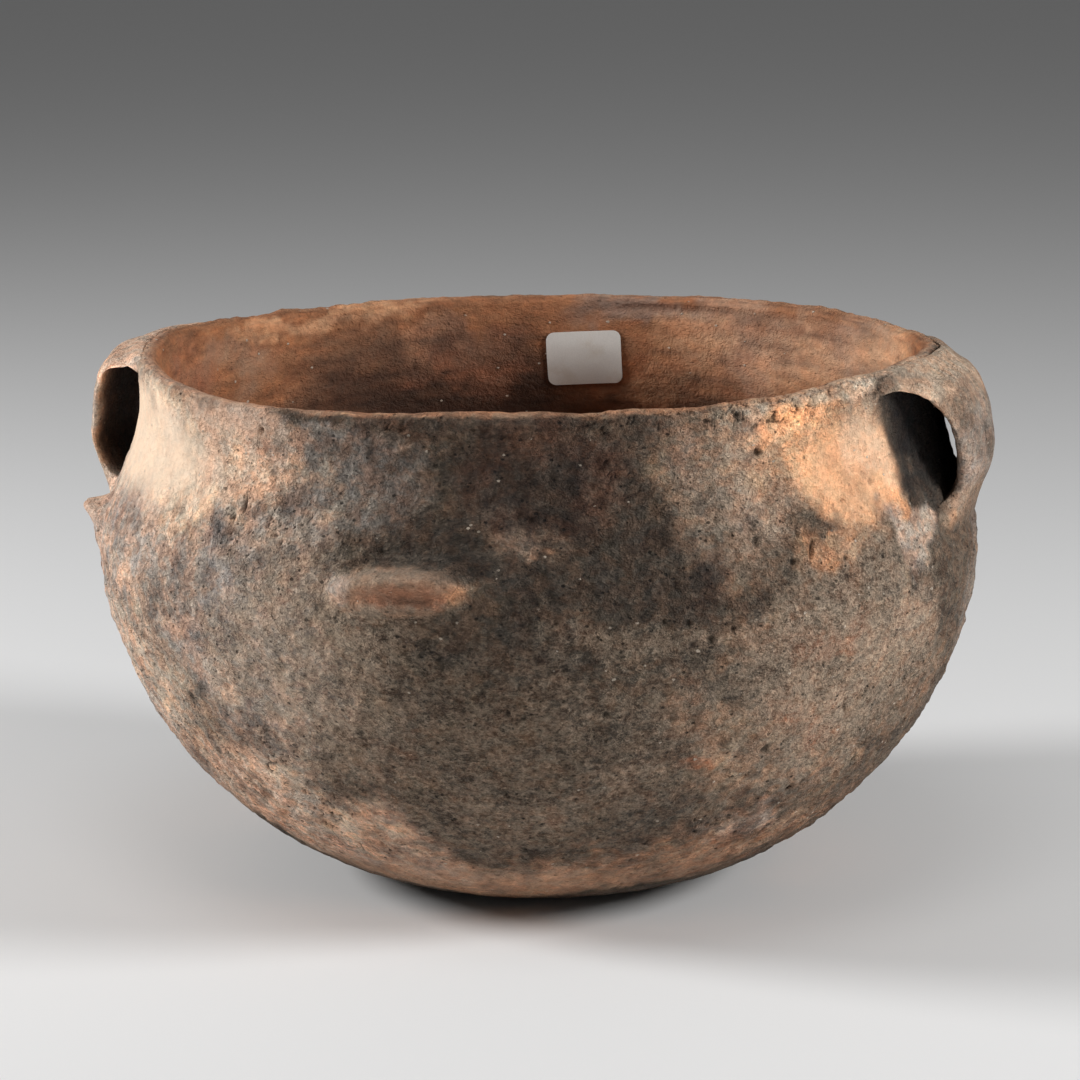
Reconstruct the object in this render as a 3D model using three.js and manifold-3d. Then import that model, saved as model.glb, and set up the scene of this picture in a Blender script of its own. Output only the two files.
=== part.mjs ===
// Hand-built clay jar: a wide round-bottomed bowl with a short neck, two strap loop
// handles and two small lugs. Millimetres, +Z up, origin in the middle of the worn flat
// that it stands on. The handles lie on the X axis, at the right (+X) and left (-X).
//
// The wall is built up as its maker built it: a bowl-shaped base, and clay rings laid on
// it one above the other with slanting joints. Handles and lugs are pressed on outside.

import * as THREE from 'three'
import { mergeVertices } from 'three/addons/utils/BufferGeometryUtils.js'
import Module from 'manifold-3d'

const wasm = await Module()
wasm.setup()

// Outer outline of the wall: a bowl up to the belly, a shoulder up to the neck, then the neck
const FOOT_RADIUS = 24
const BELLY_RADIUS = 100
const BELLY_HEIGHT = 75.7
const NECK_RADIUS = 90.9
const SHOULDER_RISE = 31.8
const NECK_RISE = 12
const LIP_FLARE = 0.5
const BOWL_FULLNESS = 1.75
const NECK_HEIGHT = BELLY_HEIGHT + SHOULDER_RISE
const LIP_HEIGHT = NECK_HEIGHT + NECK_RISE
const LIP_RADIUS = NECK_RADIUS + LIP_FLARE

// Clay thickness
const WALL_THICKNESS = 5.4
const FLOOR_THICKNESS = 8
const LIP_THICKNESS = 4.8

// Joints between the rings, as heights on the outer wall. The upper three keep their
// distance from the belly and the lip.
const BASE_TOP = 20
const LOWER_WALL_TOP = 43
const BELLY_JOINT_DROP = 9.7
const SHOULDER_JOINT_RISE = 17.3
const RIM_RING_HEIGHT = 12.5
const BELLY_TOP = BELLY_HEIGHT - BELLY_JOINT_DROP
const SHOULDER_TOP = BELLY_HEIGHT + SHOULDER_JOINT_RISE
const NECK_TOP = LIP_HEIGHT - RIM_RING_HEIGHT
const JOINT_SLANT = 4.5
const JOINT_GAP = 0.3

// Clearance of a handle, a lug or the label from the wall that it sits on
const SEAT_GAP = 0.3

// Strap handles, with angles in degrees about +Z, counted from +X. The edge is 2 for a thin
// round edge and more for a fuller one.
const HANDLES = [
  { name: 'right_handle', azimuth: 0, thickness: 4.4, edge: 2.8, reach: 9.4 },
  { name: 'left_handle', azimuth: 180, thickness: 4.2, edge: 2.2, reach: 9.4 },
]
const STRAP_WIDTH = 28
const STRAP_FOOT_RISE = 6.3
const STRAP_TOP_DROP = 2.8
const STRAP_ROOT_SWELL = 1.3

// Centre line of a strap from its foot on the shoulder to its top under the lip: the share
// of the height between them, then shares of the reach off the wall and of the strap's width
const STRAP_STATIONS = [
  { up: 0, off: -0.6, wide: 1.7 },
  { up: 0.12, off: -0.22, wide: 1.65 },
  { up: 0.29, off: 0.34, wide: 1.15 },
  { up: 0.47, off: 0.84, wide: 1.4 },
  { up: 0.64, off: 1, wide: 1.75 },
  { up: 0.79, off: 0.88, wide: 2 },
  { up: 0.91, off: 0.53, wide: 2.3 },
  { up: 1, off: -0.36, wide: 2.9 },
]

// Lugs: a bar across the wall, with its crest at the given height over the belly
const LUGS = [
  { name: 'front_lug', azimuth: -95.5, crest: 7.5, length: 26, rise: 3.4, drop: 4.4, reach: 5.6 },
  { name: 'left_lug', azimuth: 194, crest: 7.5, length: 22, rise: 3.5, drop: 8, reach: 4.9 },
]
const LUG_SHARPNESS = 2
const LUG_FULLNESS = 2.4

// Blank paper label inside the neck
const LABEL_WIDTH = 18.7
const LABEL_TALL = 13
const LABEL_CORNER = 2
const LABEL_THICKNESS = 0.3
const LABEL_AZIMUTH = 94.1
const LABEL_DROP = 15.6
const LABEL_TILT = -2.5

// The rim is not level: it swells up and down by this much around these angles
const RIM_SWELLS = [
  { azimuth: 345, spread: 27, rise: 3 },
  { azimuth: 185, spread: 18, rise: 1 },
  { azimuth: 235, spread: 32, rise: -2 },
  { azimuth: 55, spread: 28, rise: 1.1 },
  { azimuth: 142, spread: 12, rise: -0.6 },
]

// How finely curves are stepped
const TURN_STEPS = 60
const STRAP_STEPS = 21
const STRAP_SIDES = 14
const BOWL_STEPS = 8
const RING_STEPS = 4
const LIP_STEPS = 4
const CORNER_STEPS = 4
const LUG_SIDES = 20
const LUG_ROWS = 12
const LENGTH_DIVISIONS = 600
const HEIGHT_HALVINGS = 40

// Shares of the wall's curve taken by the bowl, and by bowl and shoulder together
const BOWL_END = 0.6
const SHOULDER_END = 0.9

// Vertices nearer than this are one
const WELD_DISTANCE = 1e-4

const { clamp, degToRad, euclideanModulo, lerp, radToDeg, smoothstep } = THREE.MathUtils

// Outer wall from the edge of the foot to the lip, as one curve in (radius, height)
class OuterWall extends THREE.Curve {
  getPoint(t, target = new THREE.Vector2()) {
    if (t < BOWL_END) {
      const turn = (t / BOWL_END) * (Math.PI / 2)
      const radius = lerp(FOOT_RADIUS, BELLY_RADIUS, Math.sin(turn))
      return target.set(radius, BELLY_HEIGHT * (1 - Math.cos(turn) ** (2 / BOWL_FULLNESS)))
    }
    if (t < SHOULDER_END) {
      const share = (t - BOWL_END) / (SHOULDER_END - BOWL_END)
      const radius = lerp(BELLY_RADIUS, NECK_RADIUS, smoothstep(share, 0, 1))
      return target.set(radius, lerp(BELLY_HEIGHT, NECK_HEIGHT, share))
    }
    const share = (t - SHOULDER_END) / (1 - SHOULDER_END)
    return target.set(lerp(NECK_RADIUS, LIP_RADIUS, share ** 2), lerp(NECK_HEIGHT, LIP_HEIGHT, share))
  }
}

const outerWall = new OuterWall()
outerWall.arcLengthDivisions = LENGTH_DIVISIONS
const wallLength = outerWall.getLength()

// Distance along the outer wall at which it reaches a height
function distanceAtHeight(height) {
  let low = 0
  let high = wallLength
  for (let i = 0; i < HEIGHT_HALVINGS; i++) {
    const middle = (low + high) / 2
    if (outerWall.getPointAt(middle / wallLength).y < height) low = middle
    else high = middle
  }
  return low
}

function outerPoint(distance) {
  return outerWall.getPointAt(Math.min(distance / wallLength, 1))
}

// A point the given depth inside the outer wall, square to it
function pointInside(distance, depth) {
  const tangent = outerWall.getTangentAt(Math.min(distance / wallLength, 1))
  return outerPoint(distance).add(new THREE.Vector2(-tangent.y, tangent.x).multiplyScalar(depth))
}

function thicknessAt(distance) {
  const height = outerPoint(distance).y
  const wall = lerp(FLOOR_THICKNESS, WALL_THICKNESS, smoothstep(height, 0, LOWER_WALL_TOP))
  return lerp(wall, LIP_THICKNESS, smoothstep(height, NECK_TOP, LIP_HEIGHT))
}

// The rings from the bottom up: the distances along the outer wall between which each one
// lies, and how much further up the wall its joints reach on the inside
const joints = [BASE_TOP, LOWER_WALL_TOP, BELLY_TOP, SHOULDER_TOP, NECK_TOP].map(distanceAtHeight)
const rings = [0, ...joints].map((bottom, i) => {
  const first = i === 0
  const last = i === joints.length
  return {
    from: first ? bottom : bottom + JOINT_GAP / 2,
    to: last ? wallLength - LIP_THICKNESS / 2 : joints[i] - JOINT_GAP / 2,
    slantFrom: first ? 0 : JOINT_SLANT,
    slantTo: last ? 0 : JOINT_SLANT,
    steps: first ? BOWL_STEPS : RING_STEPS,
  }
})

// Evenly spaced points of a wall face between two distances
function face(pointAt, from, to, steps) {
  const points = []
  for (let i = 0; i <= steps; i++) points.push(pointAt(lerp(from, to, i / steps)))
  return points
}

// Outer face of a ring, or a face lifted off it by a clearance
function outerFace({ from, to, steps }, lift = 0) {
  return face((distance) => pointInside(distance, -lift), from, to, steps)
}

function innerFace({ from, to, slantFrom, slantTo, steps }, lift = 0) {
  const pointAt = (distance) => pointInside(distance, thicknessAt(distance) + lift)
  return face(pointAt, from + slantFrom, to + slantTo, steps)
}

// Solid of revolution about +Z from a profile of (radius, height) points
function revolve(profile) {
  const geometry = new THREE.LatheGeometry(profile, TURN_STEPS)
  geometry.rotateX(Math.PI / 2)
  return geometry
}

// One ring of the wall. Its joints slant up towards the inside.
function ringProfile(ring) {
  const outer = outerFace(ring)
  return [...outer, ...innerFace(ring).reverse(), outer[0].clone()]
}

function baseProfile(ring) {
  const floor = new THREE.Vector2(0, FLOOR_THICKNESS)
  return [new THREE.Vector2(0, 0), ...outerFace(ring), ...innerFace(ring).reverse(), floor]
}

// The top ring ends in a round lip
function rimProfile(ring) {
  const outer = outerFace(ring)
  const inner = innerFace(ring).reverse()
  const middle = outer.at(-1).clone().add(inner[0]).divideScalar(2)
  const half = outer.at(-1).distanceTo(inner[0]) / 2
  const rise = LIP_THICKNESS / 2
  const lip = []
  for (let i = 1; i < LIP_STEPS; i++) {
    const turn = (i / LIP_STEPS) * Math.PI
    lip.push(middle.clone().add(new THREE.Vector2(half * Math.cos(turn), rise * Math.sin(turn))))
  }
  return [...outer, ...lip, ...inner, outer[0].clone()]
}

// Closed mesh with shared vertices, as a solid that can be cut
function toSolid(geometry) {
  const bare = geometry.clone()
  bare.deleteAttribute('normal')
  bare.deleteAttribute('uv')
  const merged = mergeVertices(bare, WELD_DISTANCE)
  const corners = merged.index.array
  const kept = []
  for (let i = 0; i < corners.length; i += 3) {
    const [a, b, c] = corners.slice(i, i + 3)
    if (a !== b && b !== c && c !== a) kept.push(a, b, c)
  }
  const vertProperties = new Float32Array(merged.attributes.position.array)
  return new wasm.Manifold(new wasm.Mesh({ numProp: 3, vertProperties, triVerts: new Uint32Array(kept) }))
}

function toGeometry(solid) {
  const mesh = solid.getMesh()
  const geometry = new THREE.BufferGeometry()
  geometry.setAttribute('position', new THREE.BufferAttribute(new Float32Array(mesh.vertProperties), 3))
  geometry.setIndex(new THREE.BufferAttribute(new Uint32Array(mesh.triVerts), 1))
  return geometry
}

// Everything inside the outer wall and its clearance, up past the lip, for cutting seats
function seatCutter() {
  const skin = rings.flatMap((ring) => outerFace(ring, SEAT_GAP))
  const above = LIP_HEIGHT + LIP_RADIUS
  const roof = [new THREE.Vector2(skin.at(-1).x, above), new THREE.Vector2(0, above)]
  return toSolid(revolve([new THREE.Vector2(0, -SEAT_GAP), ...skin, ...roof]))
}

// Moves each vertex of a geometry by a function of its place
function reshape(geometry, move) {
  const place = geometry.attributes.position
  const point = new THREE.Vector3()
  for (let i = 0; i < place.count; i++) {
    point.fromBufferAttribute(place, i)
    move(point)
    place.setXYZ(i, point.x, point.y, point.z)
  }
  return geometry
}

function placeAround(point, radius, angle, height) {
  point.set(radius * Math.cos(angle), radius * Math.sin(angle), height)
}

// Rounded square from a circle: 2 is round, more is fuller
function fuller(value, power) {
  return Math.sign(value) * Math.abs(value) ** (2 / power)
}

// Centre line of a strap as (radius, height, width)
function strapLine(reach) {
  const stations = STRAP_STATIONS.map(({ up, off, wide }) => {
    const height = lerp(BELLY_HEIGHT + STRAP_FOOT_RISE, LIP_HEIGHT - STRAP_TOP_DROP, up)
    const wall = outerPoint(distanceAtHeight(height))
    return new THREE.Vector3(wall.x + off * reach, height, wide * STRAP_WIDTH)
  })
  return new THREE.CatmullRomCurve3(stations)
}

// A flat strap bent into a loop. Its ends spread along the wall that they are pressed to.
function strap({ azimuth, thickness, edge, reach }) {
  const line = strapLine(reach)
  const geometry = new THREE.CylinderGeometry(1, 1, 1, STRAP_SIDES, STRAP_STEPS)
  return reshape(geometry, (point) => {
    const along = clamp(0.5 + point.y, 0, 1)
    const centre = line.getPoint(along)
    const slope = line.getTangent(along)
    const run = Math.hypot(slope.x, slope.y)
    const thick = thickness + STRAP_ROOT_SWELL * Math.abs(2 * along - 1) ** 3
    const across = (fuller(point.x, edge) * centre.z) / 2
    const through = (fuller(point.z, edge) * thick) / 2
    const radius = centre.x + (slope.y / run) * through
    const height = centre.y - (slope.x / run) * through
    placeAround(point, radius, degToRad(azimuth) + across / centre.x, height)
  })
}

// A bar lug: round in plan, with a crest that thins out onto the wall
function lug({ azimuth, crest, length, rise, drop, reach }) {
  const seat = outerPoint(distanceAtHeight(BELLY_HEIGHT + crest))
  const geometry = new THREE.SphereGeometry(1, LUG_SIDES, LUG_ROWS)
  return reshape(geometry, (point) => {
    const across = (fuller(point.x, LUG_FULLNESS) * length) / 2
    const up = point.y * (point.y > 0 ? rise : drop)
    const out = Math.sign(point.z) * Math.abs(point.z) ** LUG_SHARPNESS * reach
    placeAround(point, seat.x + out, degToRad(azimuth) + across / seat.x, seat.y + up)
  })
}

function roundedRectangle(width, height, corner) {
  const x = width / 2 - corner
  const y = height / 2 - corner
  const outline = new THREE.Shape()
  outline.absarc(x, y, corner, 0, Math.PI / 2)
  outline.absarc(-x, y, corner, Math.PI / 2, Math.PI)
  outline.absarc(-x, -y, corner, Math.PI, 1.5 * Math.PI)
  outline.absarc(x, -y, corner, 1.5 * Math.PI, 2 * Math.PI)
  return outline
}

// The label: a thin skin of the inner wall, cut to a rounded rectangle
function label() {
  const back = rings.flatMap((ring) => innerFace(ring, SEAT_GAP))
  const front = rings.flatMap((ring) => innerFace(ring, SEAT_GAP + LABEL_THICKNESS)).reverse()
  const skin = toSolid(revolve([...back, ...front, back[0].clone()]))
  const outline = roundedRectangle(LABEL_WIDTH, LABEL_TALL, LABEL_CORNER)
  const blade = new THREE.ExtrudeGeometry(outline, {
    depth: BELLY_RADIUS,
    bevelEnabled: false,
    curveSegments: CORNER_STEPS,
  })
  blade.rotateZ(degToRad(-LABEL_TILT))
  blade.rotateX(Math.PI / 2)
  blade.rotateZ(degToRad(LABEL_AZIMUTH + 90))
  blade.translate(0, 0, LIP_HEIGHT - LABEL_DROP)
  return toGeometry(skin.intersect(toSolid(blade)))
}

// Lifts or drops the rim by its swells; the wall follows less and less down to the belly
function settleRim(point) {
  const azimuth = radToDeg(Math.atan2(point.y, point.x))
  let rise = 0
  for (const swell of RIM_SWELLS) {
    const away = euclideanModulo(azimuth - swell.azimuth + 180, 360) - 180
    rise += swell.rise * Math.exp(-((away / swell.spread) ** 2))
  }
  point.z += rise * smoothstep(point.z, BELLY_HEIGHT, LIP_HEIGHT)
}

const jar = new THREE.Group()

function addPiece(name, geometry, color, roughness) {
  const piece = new THREE.Mesh(
    reshape(geometry, settleRim),
    new THREE.MeshStandardMaterial({ color, roughness, metalness: 0 }),
  )
  piece.name = name
  jar.add(piece)
}

// The wall, from the bottom up
const [base, lowerWall, belly, shoulder, neck, rim] = rings
addPiece('base_bowl', revolve(baseProfile(base)), 0x8f5f47, 0.9)
addPiece('lower_wall_ring', revolve(ringProfile(lowerWall)), 0x6e5a4e, 0.92)
addPiece('belly_ring', revolve(ringProfile(belly)), 0x675850, 0.92)
addPiece('shoulder_ring', revolve(ringProfile(shoulder)), 0x5d524e, 0.92)
addPiece('neck_ring', revolve(ringProfile(neck)), 0x74584c, 0.92)
addPiece('rim_ring', revolve(rimProfile(rim)), 0x96664e, 0.92)

// What is pressed onto it
const cutter = seatCutter()
for (const handle of HANDLES) {
  addPiece(handle.name, toGeometry(toSolid(strap(handle)).subtract(cutter)), 0x84705f, 0.9)
}
for (const bar of LUGS) {
  addPiece(bar.name, toGeometry(toSolid(lug(bar)).subtract(cutter)), 0x9a7058, 0.9)
}
addPiece('inventory_label', label(), 0xdad7d0, 0.75)

export default jar
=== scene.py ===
import math

import bmesh
import bpy
import numpy as np
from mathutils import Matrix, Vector


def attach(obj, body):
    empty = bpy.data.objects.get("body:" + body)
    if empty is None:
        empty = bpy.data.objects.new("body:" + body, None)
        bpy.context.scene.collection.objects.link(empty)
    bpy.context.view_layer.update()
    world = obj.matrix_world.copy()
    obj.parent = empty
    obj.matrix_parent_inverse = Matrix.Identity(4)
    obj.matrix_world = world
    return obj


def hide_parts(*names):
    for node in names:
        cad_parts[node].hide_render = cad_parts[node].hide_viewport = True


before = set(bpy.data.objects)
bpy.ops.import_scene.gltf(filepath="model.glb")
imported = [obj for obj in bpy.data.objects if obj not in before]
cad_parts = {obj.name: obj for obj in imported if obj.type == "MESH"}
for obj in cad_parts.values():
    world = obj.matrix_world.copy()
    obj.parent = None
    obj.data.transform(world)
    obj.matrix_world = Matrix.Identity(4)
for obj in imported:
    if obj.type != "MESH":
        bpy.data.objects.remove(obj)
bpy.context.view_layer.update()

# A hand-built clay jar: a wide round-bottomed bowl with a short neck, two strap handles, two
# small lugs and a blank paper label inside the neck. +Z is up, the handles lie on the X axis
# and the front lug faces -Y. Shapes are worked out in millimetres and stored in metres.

bl_info = {
    "name": "Loop Handled Clay Jar",
    "version": (1, 0, 0),
    "blender": (4, 5, 0),
    "location": "3D View > Sidebar > Clay Jar",
    "description": "Builds a hand-made clay jar with strap handles, lugs and a label",
    "category": "Add Mesh",
}

MM = 0.001
BAKE_MAP = "OFBake"

# How finely the wall is stepped: steps in a turn, and millimetres along the wall
SPIN_STEPS = 60
TURN_STEPS = 1200
OUTER_STEP = 0.6
INNER_STEP = 1.3
FOOT_STEP = 3
BASE_COARSER = 2.2
LIP_FINER = 0.8
LIP_STEPS = 14
# Points that the wall's outline is worked out at: the bowl, and each stretch over it
BOWL_POINTS = 900
UPPER_POINTS = 300
# How many points are compared with the outline at a time
BATCH = 5000
# How near each other points are taken for one, in millimetres
SAME = 1e-3


def lerp(a, b, t):
    return a + (b - a) * t


def smoothstep(low, high, value):
    t = np.clip((value - low) / (high - low), 0, 1)
    return t * t * (3 - 2 * t)


def turned(degrees):
    """Degrees brought to between -180 and 180."""
    return (degrees + 180) % 360 - 180


def azimuth_of(points):
    return np.degrees(np.arctan2(points[:, 1], points[:, 0]))


def nearest(points, places):
    """The index of each point's nearest place."""
    index = np.empty(len(points), int)
    for start in range(0, len(points), BATCH):
        part = points[start : start + BATCH]
        index[start : start + BATCH] = ((part[:, None] - places[None]) ** 2).sum(2).argmin(1)
    return index


def length(name, about, default):
    return bpy.props.FloatProperty(name=name, description=about, default=default, min=0, unit="LENGTH")


def clay_colour(name, about, default):
    return bpy.props.FloatVectorProperty(
        name=name, description=about, default=default, size=3, min=0, max=1, subtype="COLOR"
    )


class JarSizes(bpy.types.PropertyGroup):
    """Sizes of the jar"""

    foot_radius: length("Foot Radius", "Radius of the worn flat that the jar stands on", 0.024)
    belly_radius: length("Belly Radius", "Outer radius at the widest part", 0.1)
    belly_height: length("Belly Height", "Height of the widest part", 0.0757)
    neck_radius: length("Neck Radius", "Outer radius of the neck", 0.0909)
    shoulder_rise: length("Shoulder Rise", "Height from the belly to the neck", 0.0318)
    neck_rise: length("Neck Rise", "Height from the neck to the lip", 0.012)
    lip_flare: length("Lip Flare", "How much wider the lip is than the neck", 0.0005)
    wall_thickness: length("Wall Thickness", "Thickness of the wall below the neck", 0.0054)
    floor_thickness: length("Floor Thickness", "Thickness of the bottom", 0.008)
    lip_thickness: length("Lip Thickness", "Thickness at the lip", 0.0048)
    base_top: length("Base Top", "Height of the joint over the base", 0.02)
    lower_wall_top: length("Lower Wall Top", "Height of the joint over the first ring", 0.043)
    belly_joint_drop: length("Belly Joint Drop", "How far the belly ring ends under the belly", 0.0097)
    shoulder_joint_rise: length("Shoulder Joint Rise", "How far the next ring ends over it", 0.0173)
    rim_ring_height: length("Rim Ring Height", "Height of the top ring", 0.0125)
    joint_slant: length("Joint Slant", "How much higher the joints lie on the inside", 0.0045)
    strap_width: length("Strap Width", "Width that the handles' widths are shares of", 0.028)
    strap_foot_rise: length("Strap Foot Rise", "Height of the handles' feet over the belly", 0.0063)
    strap_top_drop: length("Strap Top Drop", "Depth of the handles' tops under the lip", 0.0028)
    label_width: length("Label Width", "Width of the paper label", 0.0187)
    label_height: length("Label Height", "Height of the paper label", 0.013)
    label_drop: length("Label Drop", "Depth of the label's middle under the lip", 0.0156)
    bowl_fullness: bpy.props.FloatProperty(
        name="Bowl Fullness", description="2 is a round bowl, less is more pointed", default=1.75, min=1
    )


class JarColours(bpy.types.PropertyGroup):
    """Colours of the fired clay, and the painted shadow"""

    cream: clay_colour("Cream", "Pale smooth slip at the left of the neck", (0.77, 0.585, 0.43))
    salmon: clay_colour("Salmon", "Pink clay under the left of the rim", (0.6, 0.41, 0.3))
    orange: clay_colour("Orange", "Clay that the fire reached best", (0.82, 0.455, 0.25))
    rust: clay_colour("Rust", "Red-brown clay", (0.34, 0.15, 0.085))
    brown: clay_colour("Brown", "Orange-brown clay of the bottom", (0.43, 0.26, 0.168))
    tan: clay_colour("Tan", "Grey-tan clay right of the middle", (0.34, 0.238, 0.168))
    ash: clay_colour("Ash", "Pink-grey clay of the left belly", (0.47, 0.365, 0.3))
    olive: clay_colour("Olive", "Dusty clay of the lower belly", (0.2, 0.141, 0.1))
    slate: clay_colour("Slate", "Blue-grey smoke marks", (0.25, 0.205, 0.175))
    smoke: clay_colour("Smoke", "Clay that smoke darkened", (0.1, 0.073, 0.053))
    # Ember: dark red-brown clay, also laid as painted shade on the handles' sides towards the wall and
    # under the front lug's crest
    ember: clay_colour("Ember", "Dark red-brown clay", (0.09, 0.049, 0.033))
    soot: clay_colour("Soot", "Black smoke marks", (0.05, 0.038, 0.03))
    # Painted shadow: near-black laid where the jar lies in deep shade, in the gap behind the right handle's
    # strap and low on the far inside wall
    char: clay_colour("Char", "Blackest clay, behind the right handle", (0.016, 0.012, 0.01))
    terracotta: clay_colour("Terracotta", "Clay of the inside", (0.345, 0.148, 0.068))
    dust: clay_colour("Dust", "Pale dust that sits on the grain", (0.36, 0.275, 0.2))


# Scattered numbers that all noise is read from
SCATTER = 64
scatter = np.random.default_rng(23).random((SCATTER, SCATTER, SCATTER, 5), dtype=np.float32)
GRAIN_TURN = np.array([[0.36, 0.48, -0.8], [-0.8, 0.6, 0], [0.48, 0.64, 0.6]], np.float32)


def noise(points, size, seed=0, octaves=1, keep=0.5):
    """Smooth noise from about -1 to 1, with lumps about size across."""
    total = np.zeros(len(points), np.float32)
    share, reach = 1.0, 0.0
    q = points.astype(np.float32) / size
    for octave in range(octaves):
        q = q @ GRAIN_TURN
        at = q + 13.7 * (seed + octave) + 0.31
        cell = np.floor(at).astype(np.int32)
        f = at - cell
        f = f * f * f * (f * (f * 6 - 15) + 10)
        low, high = cell % SCATTER, (cell + 1) % SCATTER
        value = 0
        for x, wx in ((low[:, 0], 1 - f[:, 0]), (high[:, 0], f[:, 0])):
            for y, wy in ((low[:, 1], 1 - f[:, 1]), (high[:, 1], f[:, 1])):
                near, far = scatter[x, y, low[:, 2], 0], scatter[x, y, high[:, 2], 0]
                value = value + wx * wy * lerp(near, far, f[:, 2])
        total += share * (value * 2 - 1)
        reach += share
        share *= keep
        q = q * 2
    return total / reach * 1.6


def spots(points, size, chance, seed, small, large):
    """How deep points lie in scattered round spots: 0 outside, 1 in the middle of a large one."""
    at = points.astype(np.float32) / size + 7.3 * seed
    corner = np.floor(at - 0.5).astype(np.int32)
    deepest = np.zeros(len(points), np.float32)
    for i in range(8):
        cell = corner + np.array([i & 1, i >> 1 & 1, i >> 2], np.int32)
        x, y, z = (cell % SCATTER).T
        draw = scatter[x, y, z]
        middle = cell + 0.25 + 0.5 * draw[:, :3]
        radius = small + (large - small) * draw[:, 3] ** 2
        away = ((at - middle) ** 2).sum(1) / radius**2
        depth = np.clip(1 - away, 0, 1) * (draw[:, 4] < chance) * radius / large
        deepest = np.maximum(deepest, depth)
    return deepest


class Wall:
    """The outer outline of the jar's wall, by distance along it from the edge of the foot."""

    def __init__(self, sizes):
        keys = [key for key in JarSizes.__annotations__ if key != "bowl_fullness"]
        self.mm = mm = {key: getattr(sizes, key) / MM for key in keys}
        neck_height = mm["belly_height"] + mm["shoulder_rise"]
        self.lip_height = neck_height + mm["neck_rise"]
        turn = np.linspace(0, np.pi / 2, BOWL_POINTS)
        bowl = np.stack(
            [
                lerp(mm["foot_radius"], mm["belly_radius"], np.sin(turn)),
                mm["belly_height"] * (1 - np.cos(turn) ** (2 / sizes.bowl_fullness)),
            ],
            1,
        )
        share = np.linspace(0, 1, UPPER_POINTS)[1:]
        shoulder = np.stack(
            [
                lerp(mm["belly_radius"], mm["neck_radius"], smoothstep(0, 1, share)),
                lerp(mm["belly_height"], neck_height, share),
            ],
            1,
        )
        neck = np.stack(
            [mm["neck_radius"] + mm["lip_flare"] * share**2, lerp(neck_height, self.lip_height, share)], 1
        )
        self.line = np.vstack([bowl, shoulder, neck])
        steps = np.hypot(*np.diff(self.line, axis=0).T)
        self.along = np.concatenate([[0], np.cumsum(steps)])
        self.length = self.along[-1]
        slope = np.gradient(self.line, self.along, axis=0)
        self.slope = slope / np.linalg.norm(slope, axis=1)[:, None]
        belly = mm["belly_height"]
        self.joint_heights = [
            mm["base_top"],
            mm["lower_wall_top"],
            belly - mm["belly_joint_drop"],
            belly + mm["shoulder_joint_rise"],
            self.lip_height - mm["rim_ring_height"],
        ]
        self.joints = [self.distance(height) for height in self.joint_heights]
        self.inner_heights = self.inner(self.along)[:, 1]

    def distance(self, height):
        return np.interp(height, self.line[:, 1], self.along)

    def outer(self, distance):
        """(radius, height) on the outside at a distance along the wall."""
        return np.stack([np.interp(distance, self.along, self.line[:, i]) for i in (0, 1)], -1)

    def outward(self, distance):
        tangent = np.stack([np.interp(distance, self.along, self.slope[:, i]) for i in (0, 1)], -1)
        return np.stack([tangent[..., 1], -tangent[..., 0]], -1)

    def thickness(self, distance):
        mm = self.mm
        height = self.outer(distance)[..., 1]
        lower = smoothstep(0, mm["lower_wall_top"], height)
        wall = lerp(mm["floor_thickness"], mm["wall_thickness"], lower)
        return lerp(wall, mm["lip_thickness"], smoothstep(self.joint_heights[-1], self.lip_height, height))

    def inner(self, distance):
        return self.outer(distance) - self.outward(distance) * self.thickness(distance)[..., None]

    def radius_at(self, height):
        return np.interp(height, self.line[:, 1], self.line[:, 0])

    def clearance(self, points):
        """How far points stand off the outside of the wall, and the way straight off it."""
        flat = np.stack([np.hypot(points[:, 0], points[:, 1]), points[:, 2]], 1)
        upper = np.flatnonzero(self.line[:, 1] > self.mm["lower_wall_top"])
        index = upper[nearest(flat, self.line[upper])]
        out = np.stack([self.slope[index, 1], -self.slope[index, 0]], 1)
        off = ((flat - self.line[index]) * out).sum(1)
        around = points[:, :2] / flat[:, :1]
        return off, np.column_stack([around * out[:, :1], out[:, 1]])


# The rim is not level: (azimuth, spread, rise) of its swells, in degrees and millimetres
RIM_SWELLS = [(345, 27, 3), (185, 18, 1), (235, 32, -2), (55, 28, 1.1), (142, 12, -0.6)]


def settle_rim(points, wall):
    """Lifts or drops the rim by its swells; the wall follows less and less down to the belly."""
    azimuth = azimuth_of(points)
    rise = sum(lift * np.exp(-((turned(azimuth - at) / spread) ** 2)) for at, spread, lift in RIM_SWELLS)
    points[:, 2] += rise * smoothstep(wall.mm["belly_height"], wall.lip_height, points[:, 2])


def lip_sway(points):
    """How far the lip stands over or under its plan, before its swells."""
    return 0.4 * noise(points, 12, 21, 2)


# How far under its plan the lip lies on average
LIP_SETTLED = 0.6

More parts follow.
